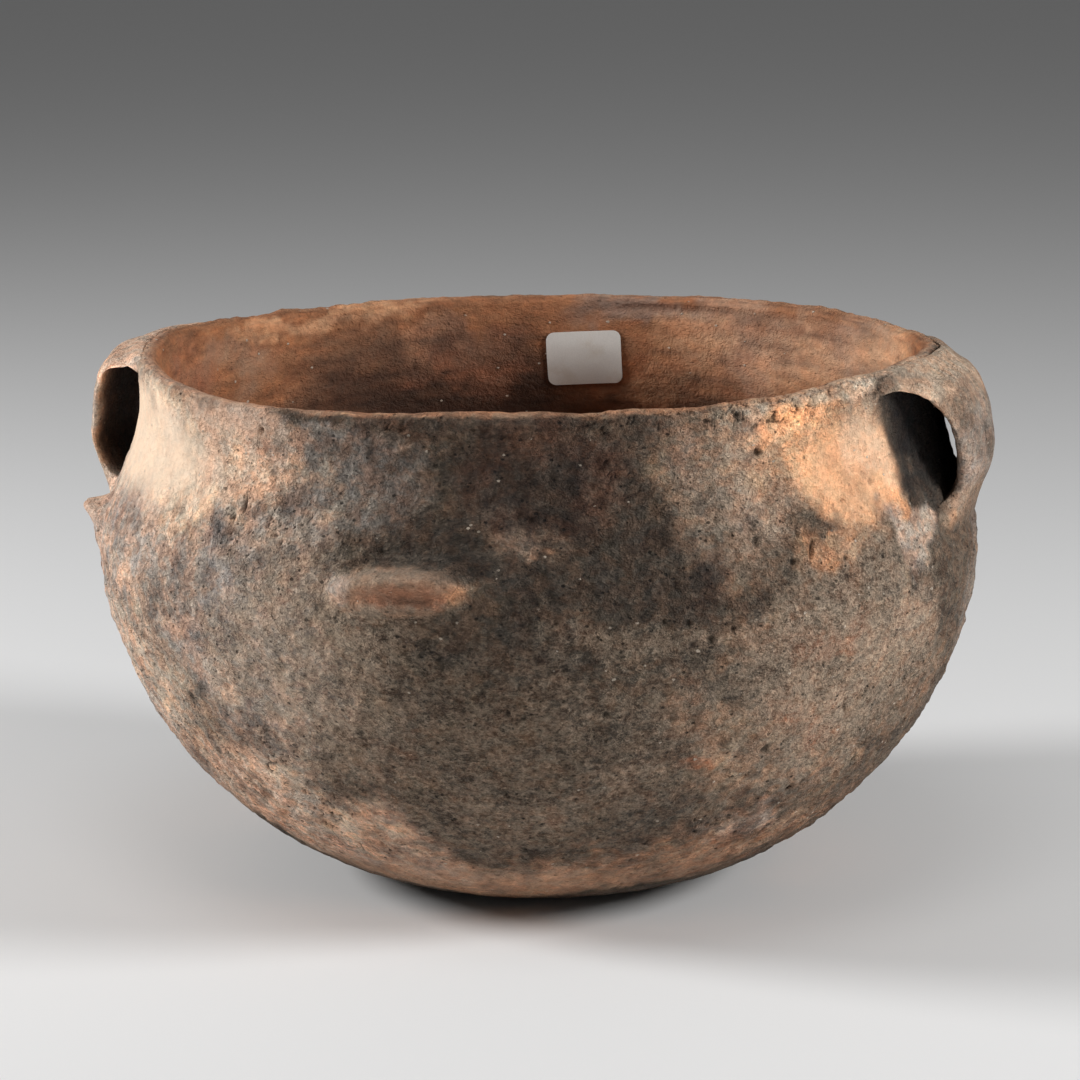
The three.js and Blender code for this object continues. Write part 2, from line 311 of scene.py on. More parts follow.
# Hand-made marks on the outside: azimuth, height, half width, half height, tilt, depth
MARKS = [
    (-120.4, 97.2, 0.55, 2.3, 4, 0.9),
    (-121.6, 94.2, 0.5, 1.4, 12, 0.6),
    (-123.7, 91.8, 0.35, 1.9, 25, 0.4),
    (-131.2, 51.2, 0.6, 1.9, 20, 0.6),
    (-134.0, 49.8, 0.5, 0.6, 0, 0.7),
    (-70.1, 15.9, 1.5, 0.5, 0, 0.9),
    (-48.5, 108.4, 0.8, 1.1, 20, 1.0),
    (-42.6, 88.3, 0.5, 2.4, -25, 0.9),
    (-44.0, 92.0, 0.4, 1.8, -8, 0.6),
    (-45.6, 86.6, 0.9, 0.9, 0, 0.9),
    (-50.4, 91.5, 0.9, 1.2, -20, 0.7),
    (-29.0, 98.6, 1.1, 0.8, 30, 0.5),
    (-35.3, 96.4, 0.5, 0.6, 0, 0.6),
    (-118.5, 113.9, 0.6, 0.9, 20, 0.7),
    (-113.5, 112.2, 0.5, 0.8, 0, 0.6),
    (-86.2, 95.2, 0.35, 5.4, -6, 0.25),
    (-84.9, 101.0, 0.35, 2.8, -14, 0.2),
    (-88.4, 99.2, 0.35, 2.0, -28, 0.2),
    (-66.5, 99.2, 0.4, 2.0, 80, 0.35),
    (-62.0, 84.0, 0.5, 1.2, 30, 0.5),
    (-63.7, 77.0, 0.6, 0.7, 0, 0.6),
    (-60.7, 76.6, 0.8, 0.6, 0, 0.6),
    (-54.8, 74.2, 0.8, 0.8, 0, 0.8),
    (-57.8, 72.4, 1.0, 1.1, 30, 0.7),
    (-35.4, 52.6, 0.4, 2.0, 20, 0.7),
    (-32.0, 54.8, 0.4, 1.7, 10, 0.6),
    (-47.5, 45.8, 1.0, 1.6, -40, 0.8),
    (-39.6, 33.6, 0.8, 1.0, -50, 0.6),
    (62.0, 92.0, 0.5, 2.1, 15, 0.7),
    (98.0, 101.0, 0.4, 2.8, -20, 0.5),
    (131.0, 63.0, 1.0, 0.7, 10, 0.7),
    (84.0, 44.0, 0.7, 1.4, 35, 0.6),
]

# Fire marks on the outside, and painted shadow behind the right handle, in the order that they
# cover each other: clay, azimuth, height, half width and half height in millimetres, tilt in degrees,
# strength
OUTER_FIRE = [
    ("olive", -31, 52, 44, 38, 0, 0.9),
    ("olive", -78, 42, 46, 20, 0, 0.3),
    ("ash", -160, 68, 46, 56, 0, 1.0),
    ("ash", -118, 72, 28, 34, 8, 0.9),
    ("olive", -103, 60, 15, 28, 10, 0.65),
    ("salmon", -120, 24, 38, 20, -30, 1.0),
    ("brown", -84, 10, 46, 11.5, 0, 1.0),
    ("brown", -50, 17, 40, 13, 12, 0.85),
    ("salmon", -105, 19, 20, 10, -15, 0.6),
    ("cream", -116, 30, 17, 13, -30, 0.35),
    ("cream", -142, 60, 20, 24, 0, 0.4),
    ("ash", -109, 61, 12, 13, 0, 0.6),
    ("ash", -140, 86, 20, 9, 0, 0.9),
    ("slate", -122, 88.5, 15, 5, 2, 0.2),
    ("slate", -114, 79.5, 21, 5, 3, 0.45),
    ("ash", -110, 93, 9, 4, 0, 0.6),
    ("ash", -117, 85, 15, 6, 0, 0.45),
    ("ash", -122, 84, 9, 6, 0, 0.5),
    ("cream", -150, 104, 41, 15.5, 0, 1.0),
    ("cream", -132, 97, 17, 8.5, 0, 0.85),
    ("slate", -149, 113, 5, 7, 20, 0.3),
    ("salmon", -121, 107, 12, 11, 10, 0.85),
    ("slate", -110.5, 105, 10, 10, 0, 0.9),
    ("slate", -109, 114, 8, 3.5, 0, 0.8),
    ("slate", -103, 104, 8, 10, 0, 0.55),
    ("salmon", -124, 108, 10, 10, 0, 0.95),
    ("cream", -127, 109, 8, 9, 0, 0.45),
    ("salmon", -127, 116, 14, 4.5, 0, 0.7),
    ("slate", -111, 105, 7, 8, 0, 0.65),
    ("ember", -97, 115, 10, 4.5, 0, 0.6),
    ("slate", -98, 104, 12, 9, 0, 0.6),
    ("slate", -97, 110, 7, 5, 0, 0.35),
    ("soot", -82, 90, 40, 10, 0, 0.6),
    ("tan", -96, 82.5, 20, 6.5, 0, 0.4),
    ("ash", -103.5, 82.5, 7, 4, 0, 0.6),
    ("ember", -77, 105, 16, 13, 0, 0.95),
    ("soot", -78, 102, 8, 7, 0, 0.8),
    ("soot", -86, 81, 8, 4, 0, 0.5),
    ("soot", -64, 87, 17, 9, 0, 0.85),
    ("tan", -53, 106, 19, 15, 0, 1.0),
    ("olive", -54, 91, 13, 8, 0, 0.85),
    ("tan", -80, 94.5, 6.5, 3.5, 0, 0.5),
    ("brown", -78, 92.3, 5, 1.3, -20, 0.8),
    ("salmon", -49, 102, 11, 13, 10, 0.5),
    ("orange", -40, 107, 14, 12, 20, 1.0),
    ("orange", -29, 99, 13, 12, 10, 1.0),
    ("orange", -35, 91, 8, 7, -20, 0.9),
    ("orange", -42, 85, 10, 3.5, -10, 0.5),
    ("cream", -28, 105, 9, 13, 25, 0.4),
    ("cream", -46, 117.5, 18, 3.5, 0, 0.5),
    ("orange", -37, 100, 9, 8, 10, 0.5),
    ("ash", -24.5, 87, 8.5, 5.5, 0, 0.85),
    ("orange", -26.5, 95, 7, 4.5, -30, 0.9),
    # Painted shadow on the wall in the shade behind the right handle's strap, darkest at the top of the gap
    # under the strap's root
    ("char", -9.5, 107, 19, 19, 30, 1.0),
    ("char", -14, 113.5, 9, 7, 0, 0.9),
    ("ash", -20, 88, 6.5, 5, 0, 0.8),
    ("cream", -20.5, 88, 6, 4.5, 0, 0.3),
    ("cream", -30, 117, 11, 4, 0, 0.9),
    ("smoke", -15, 71.5, 12, 9, 0, 0.85),
    ("slate", 2, 66, 14, 24, 0, 0.7),
    ("tan", -28, 65.5, 17, 14, 0, 0.9),
    ("tan", -42, 44, 26, 16, 0, 0.75),
    ("rust", -41, 70, 12, 5, 10, 0.5),
    ("rust", -42, 52, 15, 5, -15, 0.45),
    ("rust", -59, 41, 6, 2.5, 0, 0.7),
    ("tan", -51, 72, 12, 8, 0, 0.5),
    ("olive", -31, 48, 12, 9, 0, 0.9),
    ("smoke", -31, 48, 10, 7, 0, 0.3),
    ("brown", -45, 25, 12, 6, 0, 0.85),
    ("ash", -45, 25, 12, 6, 0, 0.45),
    ("tan", -60, 55, 8, 7, 0, 0.5),
    ("smoke", -71, 47, 14, 10, 0, 0.8),
    ("olive", -80, 33, 15, 6, 0, 0.5),
    ("soot", -46, 30, 22, 2, 38, 0.2),
    ("brown", 60, 12, 90, 12, 0, 0.9),
    ("salmon", 150, 22, 40, 22, 20, 0.7),
    ("soot", 96, 74, 52, 34, 12, 0.8),
    ("orange", 64, 102, 24, 14, 0, 0.75),
    ("salmon", 42, 80, 18, 16, 20, 0.6),
    ("ash", 148, 58, 34, 26, -10, 0.7),
    ("cream", 152, 104, 20, 12, 0, 0.7),
    ("tan", 118, 108, 26, 9, 0, 0.8),
    ("rust", 84, 48, 18, 8, 15, 0.6),
    ("olive", 40, 48, 30, 22, 0, 0.6),
]

# The same on the inside, with painted shadow low on the far wall
INNER_FIRE = [
    ("brown", 60, 60, 400, 40, 0, 0.5),
    ("smoke", 0, 20, 400, 26, 0, 0.7),
    ("ember", 116, 97, 44, 15, 0, 0.85),
    ("smoke", 135, 108, 20, 5, 0, 0.35),
    ("tan", 160, 110, 16, 6, 0, 0.45),
    ("orange", 140, 116.5, 34, 2.6, 0, 0.6),
    ("orange", 120, 109, 9, 3, 0, 0.5),
    ("rust", 112, 101, 16, 4, 0, 0.6),
    ("orange", 81, 100, 12, 4, 0, 0.45),
    ("orange", 52, 108, 22, 6, 0, 0.5),
    ("salmon", 36, 113, 18, 9, 0, 0.5),
    ("orange", 28, 113, 18, 9, 0, 0.6),
    ("slate", 85, 115, 22, 4, 0, 0.6),
    ("rust", 176, 104, 20, 12, 0, 0.7),
    ("orange", -60, 98, 40, 12, 0, 0.4),
    ("soot", -110, 86, 40, 20, 0, 0.5),
    # Painted shadow low on the far inside wall, where the near wall shades it
    ("char", 95, 88, 90, 13, 0, 0.5),
    ("salmon", 68, 109, 18, 10, 0, 0.4),
    ("salmon", 52, 112, 14, 8, 0, 0.2),
    ("rust", 116, 108, 16, 4.5, 0, 0.6),
    ("smoke", 116, 107.5, 14, 5, 0, 0.4),
    ("orange", 76, 109, 12, 6, 0, 0.4),
]

# The dust value of places kept bare of dust: the inside, and the darkest colours such as the painted shadow
CLEAN = -0.1
# Pale dust on the outside: azimuth, height, half width, half height, tilt, how much
DUST = [
    (-82, 44, 50, 32, 0, 0.4),
    (-36, 62, 38, 28, 0, 0.65),
    (-108, 66, 30, 30, 0, 0.7),
    (-80, 96, 12, 7, 0, 0.1),
    (-50, 100, 20, 12, 0, 0.5),
    (-66, 72, 22, 6, 0, 0.4),
    (90, 50, 160, 36, 0, 0.6),
]

# Tints of the clay that come and go over the whole jar: colour factors, size, seed, strength
CLOUDS = [
    ((1.25, 1.0, 0.9), 8, 43, 0.35),
    ((1.45, 1.4, 1.28), 6, 49, 0.5),
    ((0.5, 0.5, 0.52), 8, 55, 0.75),
    ((0.72, 0.8, 0.9), 15, 71, 0.6),
    ((0.6, 0.57, 0.56), 5, 91, 0.6),
    ((1.3, 1.2, 1.08), 3.6, 97, 0.45),
    ((0.55, 0.5, 0.48), 3, 77, 0.5),
]


def fine_octaves(size):
    """Octaves of noise that a mesh with points half a millimetre apart can still show."""
    return max(1, int(math.log2(size / 1.2)) + 1)


def clouded(colour, points, weight, scale=1):
    """A colour with the clouds of tint over it, as strong as weight says."""
    for tint, size, seed, strength in CLOUDS:
        cloud = smoothstep(0.05, 0.7, noise(points, size * scale, seed, fine_octaves(size), 0.68))
        colour = colour * lerp(1, np.array(tint), (cloud * strength * weight)[:, None])
    return colour


class Relief:
    """How far the jar's clay stands in or out, and how it is coloured, at points of the wall."""

    def __init__(self, wall, colours):
        self.wall = wall
        self.clay = {key: np.array(getattr(colours, key)) for key in JarColours.__annotations__}

    def wobble(self, points):
        """Slow unevenness of the hand-built wall, which moves the outside and inside alike."""
        return 0.4 * noise(points, 46, 1) + 0.22 * noise(points, 21, 2) - 0.62

    def patch(self, azimuth, height, at, level, wide, tall, tilt, soft=0.5):
        """Weight of a soft oval on the wall: 1 in its middle and 0 outside."""
        u = np.radians(turned(azimuth - at)) * self.wall.radius_at(level)
        v = self.wall.distance(height) - self.wall.distance(level)
        c, s = math.cos(math.radians(tilt)), math.sin(math.radians(tilt))
        away = np.hypot((u * c + v * s) / wide, (v * c - u * s) / tall)
        return smoothstep(1 + soft * 0.6, 1 - soft, away)

    def coarse(self, azimuth, height):
        """How coarse the outside is: 1 where it is pitted, less where it was smoothed."""
        neck = self.patch(azimuth, height, -151, 104, 42, 15, 0)
        neck = np.maximum(neck, 0.6 * self.patch(azimuth, height, -126, 116, 19, 5, 0))
        right = self.patch(azimuth, height, -31, 102, 19, 13, 0)
        foot = self.patch(azimuth, height, -92, 9, 60, 13, 0)
        return 1 - 0.8 * np.maximum(neck, np.maximum(0.75 * right, 0.5 * foot))

    def marks(self, azimuth, height):
        depth = np.zeros(len(azimuth))
        for at, level, wide, tall, tilt, deep in MARKS:
            near = (np.abs(turned(azimuth - at)) < 6) & (np.abs(height - level) < 8)
            if near.any():
                cut = self.patch(azimuth[near], height[near], at, level, wide, tall, tilt, 0.6)
                depth[near] = np.maximum(depth[near], deep * cut)
        return depth

    def outside(self, points, azimuth, height):
        """Relief of the outside in millimetres, and how much of it is a pit, which the material darkens as
        painted shade.
        """
        coarse = self.coarse(azimuth, height)
        crumbled = self.patch(azimuth, height, -46, 118, 20, 5.5, 0)
        angle = np.radians(azimuth)
        wiped = np.stack([np.cos(angle) * 36, np.sin(angle) * 36, height], 1)
        lumps = 0.15 * noise(points, 7.5, 3) * coarse + 0.1 * noise(wiped, 3.2, 14, 2) * coarse
        grain = 0.3 * noise(points, 2.6, 4, 2, 0.7) * (0.15 + 0.85 * coarse)
        ridge = 1 - np.abs(noise(points, 6.5, 15, 3, 0.6))
        cracked = smoothstep(0.1, 0.5, noise(points, 24, 17, 2)) * coarse
        cracks = smoothstep(0.955, 1.0, ridge) * cracked
        large = spots(points, 6.5, 0.25, 5, 0.08, 0.17) * coarse
        small = spots(points, 2.6, 0.3, 6, 0.16, 0.36) * (0.2 + 0.8 * coarse)
        marks = self.marks(azimuth, height)
        chunks = noise(points, 3.6, 8, 3, 0.6)
        split = smoothstep(0.14, 0.02, np.abs(chunks))
        broken = crumbled * (0.6 * smoothstep(-0.06, 0.1, chunks) + 0.6 * split)
        under_lip = np.exp(-(((height - 116.3) / 1.3) ** 2)) * coarse
        holes = under_lip * spots(points, 3.1, 0.55, 10, 0.1, 0.3)
        broken = broken + 0.9 * holes
        grit = spots(points, 3.4, 0.12, 9, 0.12, 0.24) * coarse
        relief = lumps + grain + 0.3 * grit - 0.75 * large - 0.4 * small - marks - broken - 0.45 * cracks
        pits = 0.9 * large + 0.5 * small + 0.9 * marks + 0.8 * cracks + holes + 0.9 * crumbled * split
        return relief, np.clip(pits, 0, 1)

    def inside(self, points, azimuth, height):
        """Relief of the inside, which was wiped round with a wet hand."""
        angle = np.radians(azimuth)
        wiped = np.stack([np.cos(angle) * 30, np.sin(angle) * 30, height * 3.2], 1)
        streaks = 0.13 * noise(wiped, 7, 11, 3, 0.6)
        grain = 0.045 * noise(points, 2.2, 12, 2, 0.6)
        pits = spots(points, 5, 0.3, 13, 0.05, 0.17)
        crease = self.crease(azimuth, height)
        relief = streaks + grain - 0.7 * pits - crease
        return relief, np.clip(pits * 1.1 + 0.35 * crease, 0, 1)

    def crease(self, azimuth, height):
        """The joint of the rim ring, still open as a crease at the back of the inside."""
        line = 115.6 + 0.7 * np.sin(np.radians(azimuth * 5 + 30))
        sway = np.exp(-(((height - line) / 0.9) ** 2))
        return 0.7 * sway * smoothstep(46, 56, azimuth) * smoothstep(93, 84, azimuth)

    def paint_over(self, colour, strokes, azimuth, height):
        for name, *oval, strength in strokes:
            weight = strength * self.patch(azimuth, height, *oval)
            colour = lerp(colour, self.clay[name], weight[:, None])
        return colour

    def ragged(self, points, azimuth, height):
        """Azimuth and height shifted a little, so that fire marks get torn edges."""
        radius = np.maximum(np.hypot(points[:, 0], points[:, 1]), 20)
        sway = 5.5 * noise(points, 16, 31, 2) + 2.6 * noise(points, 4.5, 33, 2, 0.7)
        lift = 4.0 * noise(points, 14, 35, 2) + 2.2 * noise(points, 4.2, 37, 2, 0.7)
        return azimuth + np.degrees(sway / radius), height + lift

    def colours(self, points, azimuth, height, inner):
        """Colour of the fired clay, with painted shadow where the wall lies in deep shade, and how much
        dust lies on it.
        """
        torn = self.ragged(points, azimuth, height)
        outside = np.tile(self.clay["smoke"], (len(points), 1))
        outside = self.paint_over(outside, OUTER_FIRE, *torn)
        lip = smoothstep(118.5, 119.5, height + 0.4 * noise(points, 5, 41, 2))
        lip_clay = lerp(self.clay["brown"], self.clay["orange"], 0.25)
        lip_clay = lerp(lip_clay, self.clay["salmon"], smoothstep(-90, -150, azimuth)[:, None])
        worn_end = smoothstep(-48, -32, azimuth) * smoothstep(20, 0, azimuth)
        lip_clay = lerp(lip_clay, self.clay["cream"], worn_end[:, None])
        outside = lerp(outside, lip_clay, lip[:, None] * 0.75)
        inside = np.tile(self.clay["terracotta"], (len(points), 1))
        inside = self.paint_over(inside, INNER_FIRE, *torn)
        colour = lerp(outside, inside, inner[:, None])
        streaky = points * lerp(1, 3.2, inner)[:, None] ** np.array([-0.6, -0.6, 1])
        colour = clouded(colour, streaky, lerp(self.coarse(azimuth, height), 0.8, inner))
        dust = np.zeros(len(points))
        for *oval, amount in DUST:
            dust = np.maximum(dust, amount * self.patch(*torn, *oval))
        # The inside and the darkest colours get no dust, so that the painted shadow stays black
        bare = np.maximum(inner, smoothstep(0.05, 0.02, colour.mean(1)))
        return np.clip(colour, 0.008, 1), lerp(dust, CLEAN, bare)


def to_object(name, bm):
    """A new smooth object from a bmesh."""
    mesh = bpy.data.meshes.new(name)
    bmesh.ops.recalc_face_normals(bm, faces=bm.faces)
    bm.to_mesh(mesh)
    bm.free()
    mesh.shade_smooth()
    made = bpy.data.objects.new(name, mesh)
    bpy.context.scene.collection.objects.link(made)
    return made


def read_points(mesh):
    points = np.empty(len(mesh.vertices) * 3, np.float32)
    mesh.vertices.foreach_get("co", points)
    return points.reshape(-1, 3).astype(float)


def write_points(mesh, points):
    mesh.vertices.foreach_set("co", (points * MM).astype(np.float32).ravel())
    mesh.update()


def write_field(mesh, name, values):
    """Stores numbers or colours at a mesh's vertices, for its material to read."""
    if values.ndim == 2:
        field = mesh.attributes.new(name, "FLOAT_COLOR", "POINT")
        rgba = np.concatenate([values, np.ones((len(values), 1))], 1)
        field.data.foreach_set("color", rgba.astype(np.float32).ravel())
    else:
        field = mesh.attributes.new(name, "FLOAT", "POINT")
        field.data.foreach_set("value", values.astype(np.float32))


def write_clay(mesh, colour, dust, pit, coarse):
    write_field(mesh, "fire", colour)
    write_field(mesh, "dust", dust)
    write_field(mesh, "pit", pit)
    write_field(mesh, "coarse", coarse)


def spun(profile, closed):
    """A profile of (radius, height) points turned all the way round +Z."""
    bm = bmesh.new()
    line = [bm.verts.new((r, 0, z)) for r, z in profile]
    edges = [bm.edges.new(pair) for pair in zip(line, line[1:])]
    if closed:
        edges.append(bm.edges.new((line[-1], line[0])))
    bmesh.ops.spin(
        bm,
        geom=line + edges,
        cent=(0, 0, 0),
        axis=(0, 0, 1),
        angle=2 * math.pi,
        steps=SPIN_STEPS,
        use_merge=True,
    )
    bmesh.ops.remove_doubles(bm, verts=bm.verts, dist=1e-4)
    hoops = [e for e in bm.edges if abs(e.verts[0].co.z - e.verts[1].co.z) < 1e-4 and level_edge(e)]
    bmesh.ops.subdivide_edges(bm, edges=hoops, cuts=TURN_STEPS // SPIN_STEPS - 1)
    return bm


def level_edge(edge):
    """Whether an edge runs round the jar rather than along its wall."""
    a, b = (math.hypot(vert.co.x, vert.co.y) for vert in edge.verts)
    return abs(a - b) < SAME < a


def rows(start, end, step):
    """Evenly spaced distances from start to end, both included."""
    return np.linspace(start, end, max(2, round(abs(end - start) / step) + 1))


class Profile:
    """One ring's outline: its points, and for each its distance along the wall, how much of it
    is inside (0 or 1, between them on the lip) and the way straight off the clay."""

    def __init__(self):
        self.runs = []

    def add(self, places, along, inner, normal):
        self.runs.append((places, along, np.broadcast_to(inner, along.shape), normal))

    def join(self):
        self.places, self.along, self.inner, self.normal = map(np.concatenate, zip(*self.runs))
        return self


def ring_profile(wall, number):
    """Outline of ring number, counted from the base: outside upwards, then inside downwards."""
    mm, slant = wall.mm, wall.mm["joint_slant"]
    first, last = number == 0, number == len(wall.joints)
    half_lip = mm["lip_thickness"] / 2
    bottom = 0 if first else wall.joints[number - 1]
    top = wall.length - half_lip if last else wall.joints[number]
    profile = Profile()
    coarser = BASE_COARSER if first else LIP_FINER if last else 1
    if first:
        foot = rows(0, mm["foot_radius"], FOOT_STEP)[:-1]
        down = np.tile([0.0, -1.0], (len(foot), 1))
        profile.add(np.stack([foot, 0 * foot], 1), foot - mm["foot_radius"], 0, down)
    out = rows(bottom, top, OUTER_STEP * coarser)
    profile.add(wall.outer(out), out, 0, wall.outward(out))
    inner_top = top if last else top + slant
    if last:
        a, b = wall.outer(top), wall.inner(top)
        middle, half = (a + b) / 2, np.linalg.norm(a - b) / 2
        turn = np.linspace(0, np.pi, LIP_STEPS + 1)[1:-1]
        lip = np.stack([half * np.cos(turn), half_lip * np.sin(turn)], 1)
        normal = lip / np.linalg.norm(lip, axis=1)[:, None]
        inner = smoothstep(0.15, 0.85, turn / np.pi)
        profile.add(middle + lip, top + half_lip * np.sin(turn), inner, normal)
    into = rows(inner_top, bottom + (0 if first else slant), INNER_STEP * coarser)
    profile.add(wall.inner(into), into, 1, -wall.outward(into))
    if first:
        r, z = wall.inner(into)[-1]
        floor = rows(r, 0, FOOT_STEP * 1.3)[1:]
        up = np.tile([0.0, 1.0], (len(floor), 1))
        profile.add(np.stack([floor, 0 * floor + z], 1), floor - r, 1, up)
    return profile.join()


def nearest_places(points, places):
    """The index in a profile of each point of the ring that was spun from it."""
    column = np.arctan2(points[:, 1], points[:, 0]) % (2 * np.pi / SPIN_STEPS) - np.pi / SPIN_STEPS
    chord = np.cos(np.pi / SPIN_STEPS) / np.cos(column)
    flat = np.stack([np.hypot(points[:, 0], points[:, 1]) / chord, points[:, 2]], 1)
    return nearest(flat, places)


def turned_out(azimuth, flat):
    """(radius, height) pairs turned to their azimuths."""
    angle = np.radians(azimuth)
    return np.column_stack([np.cos(angle) * flat[:, 0], np.sin(angle) * flat[:, 0], flat[:, 1]])


def ring_mesh(name, wall, relief, number):
    """One ring of the wall as an object, with its relief and colours."""
    profile = ring_profile(wall, number)
    first, last = number == 0, number == len(wall.joints)
    made = to_object(name, spun(profile.places, not first))
    mesh = made.data
    points = read_points(mesh)
    index = nearest_places(points, profile.places)
    column = np.round(np.arctan2(points[:, 1], points[:, 0]) / (2 * np.pi) * TURN_STEPS)
    azimuth = column / TURN_STEPS * 360
    points = turned_out(azimuth, profile.places[index])
    along, inner = profile.along[index], profile.inner[index]
    level = wall.outer(np.maximum(along, 0))[:, 1]
    normal = turned_out(azimuth, profile.normal[index])
    outward = turned_out(azimuth, wall.outward(np.clip(along, 0, wall.length)))
    out_relief, out_pits = relief.outside(points, azimuth, level)
    in_relief, in_pits = relief.inside(points, azimuth, level)
    detail = lerp(out_relief, in_relief, inner)
    standing = np.where(inner > 0.5, 1, smoothstep(0, 12, points[:, 2]))
    moved = points + outward * (relief.wobble(points) * standing)[:, None]
    moved += normal * (detail * lerp(0.3, 1, standing))[:, None]
    if last:
        lip = smoothstep(wall.length - 6, wall.length, along)
        moved[:, 2] += lip * (lip_sway(points) + 0.07 * noise(points, 3.2, 22, 2) - LIP_SETTLED)
    moved[:, 2] = np.maximum(moved[:, 2], 0)
    settle_rim(moved, wall)
    write_points(mesh, moved)
    mark_corners(mesh, index, profile)
    map_ring(mesh, azimuth, index, profile)
    colour, dust = relief.colours(points, azimuth, level, inner)
    coarse = lerp(relief.coarse(azimuth, level), 0.35, inner)
    write_clay(mesh, colour, dust, lerp(out_pits, in_pits, inner), coarse)
    return made


# Space left at the edges of the strips, the most strips, and half the width of a sheet's map
MAP_MARGIN = 0.004
MAP_STRIPS = 6
MAP_HALF = 0.49


def mark_corners(mesh, index, profile):
    """Marks the edges that run round the ring at the corners of its slanting joints as sharp."""
    places = profile.places
    after = np.roll(places, -1, 0)
    joint = np.linalg.norm(after - places, axis=1) > INNER_STEP * 1.3
    joint &= np.minimum(places[:, 0], after[:, 0]) > 1
    joint &= np.roll(profile.inner, -1) != profile.inner
    corner = joint | np.roll(joint, 1)
    ends = np.empty(len(mesh.edges) * 2, np.int32)
    mesh.edges.foreach_get("vertices", ends)
    a, b = index[ends].reshape(-1, 2).T
    sharp = mesh.attributes.new("sharp_edge", "BOOLEAN", "EDGE")
    sharp.data.foreach_set("value", (a == b) & corner[a])


def map_ring(mesh, azimuth, index, profile):
    """Unrolls a ring into equal strips, one above the other, on the map for baking."""
    places = profile.places
    steps = np.linalg.norm(np.roll(places, -1, 0) - places, axis=1)
    share = np.concatenate([[0], np.cumsum(steps)[:-1]]) / steps.sum()
    ratio = 2 * math.pi * places[:, 0].max() / steps.sum()
    strips = max(1, min(MAP_STRIPS, round(math.sqrt(ratio))))
    while TURN_STEPS % strips:
        strips -= 1
    corners = np.empty(len(mesh.loops), np.int32)
    mesh.loops.foreach_get("vertex_index", corners)
    total = np.empty(len(mesh.polygons), np.int32)
    mesh.polygons.foreach_get("loop_total", total)
    face = np.repeat(np.arange(len(total)), total)
    first = np.repeat(np.concatenate([[0], np.cumsum(total)[:-1]]), total)

    def unwrapped(values):
        """Brings a face's corners to one side of where the values start again."""
        near = values + np.round(values[first] - values)
        middle = np.bincount(face, near) / total
        return near - np.floor(middle)[face], middle - np.floor(middle)

    u, u_middle = unwrapped((np.round(azimuth / 360 * TURN_STEPS) / TURN_STEPS)[corners])
    v, _ = unwrapped(share[index][corners])
    pole = places[index][corners][:, 0] < SAME
    u = np.where(pole, u_middle[face], u)
    strip = np.floor(u_middle * strips)[face]
    across = lerp(MAP_MARGIN, 1 - MAP_MARGIN, u * strips - strip)
    up = (strip + lerp(MAP_MARGIN * strips, 1 - MAP_MARGIN * strips, v)) / strips
    layer = mesh.uv_layers.new(name=BAKE_MAP)
    layer.uv.foreach_set("vector", np.stack([across, up], 1).astype(np.float32).ravel())


def sheet(across, along):
    """A flat grid from -1 to 1 both ways as a bmesh, with its own map for baking."""
    bm = bmesh.new()
    bmesh.ops.create_grid(bm, x_segments=across, y_segments=along, size=1)
    layer = bm.loops.layers.uv.new(BAKE_MAP)
    for flat_face in bm.faces:
        for corner in flat_face.loops:
            x, y, _ = corner.vert.co
            corner[layer].uv = (0.5 + MAP_HALF * x, 0.5 + MAP_HALF * y)
    return bm


def slab(across, along):
    """A sheet with a thickness, its vertices, and which of these are on its front."""
    bm = sheet(across, along)
    bmesh.ops.solidify(bm, geom=bm.faces[:], thickness=0.5)
    flat = np.array([vert.co for vert in bm.verts])
    return bm, flat, np.abs(flat[:, 2]) < 0.1


def formed(name, bm, places, weld=None):
    """Moves a bmesh's vertices to places in millimetres and makes it an object in metres."""
    for vert, place in zip(bm.verts, places):
        vert.co = place
    if weld:
        bmesh.ops.remove_doubles(bm, verts=bm.verts, dist=weld)
    bmesh.ops.scale(bm, vec=(MM, MM, MM), verts=bm.verts)
    return to_object(name, bm)


# The handles' centre lines: share of the height, share of the reach off the wall, width as a
# share of the strap width
RIGHT_STATIONS = [
    (0, -0.6, 1.85),
    (0.12, -0.22, 1.8),
    (0.29, 0.34, 1.35),
    (0.47, 0.84, 1.65),
    (0.64, 1, 1.9),
    (0.79, 0.88, 2.2),
    (0.91, 0.53, 2.5),
    (1, -0.3, 3.1),
]
LEFT_STATIONS = [
    (0, -0.6, 1.5),
    (0.1, -0.3, 1.4),
    (0.25, 0.36, 1.2),
    (0.44, 0.9, 1.35),
    (0.62, 1, 1.5),
    (0.81, 0.95, 1.65),
    (0.95, 0.66, 1.85),
    (1, -0.3, 2.1),
]
# Name, CAD node, azimuth, thickness, how square the edges are, reach, how much wider the back
# half is, how much lighter the edges are (wear with painted highlight), stations, seed
STRAPS = [
    ("right_strap_handle", "right_handle", 0, 5.2, 2.8, 8.9, 3.5, 0.6, RIGHT_STATIONS, 61),
    ("left_strap_handle", "left_handle", 180, 3.6, 3.0, 9.2, 0, 1.2, LEFT_STATIONS, 67),
]
STRAP_ROOT_SWELL = 1.3
STRAP_AROUND = 260
STRAP_ALONG = 190
# How far the clay wiped over the handles' roots reaches
WIPED = 4.6
# How deep the handles' roots may lie in the wall
STRAP_SUNK = 3.0
# Where the lip's crest starts and is full, in millimetres out from the inside of the neck
CREST = (0.2, 2.4)
# How high the handles' tops may reach over the lip, behind the crest and on it, and how softly
STRAP_TOP = (-2.2, -0.45)
STRAP_TOP_SOFT = 0.6
# Step along a handle that its direction is read over, as a share of its length
AHEAD = 0.004
# Share of a handle's length, from either end, that is its closed end
STRAP_END = 1e-4
# How near each other the edges of a rolled sheet lie where they are joined
STRAP_WELD = 2e-3

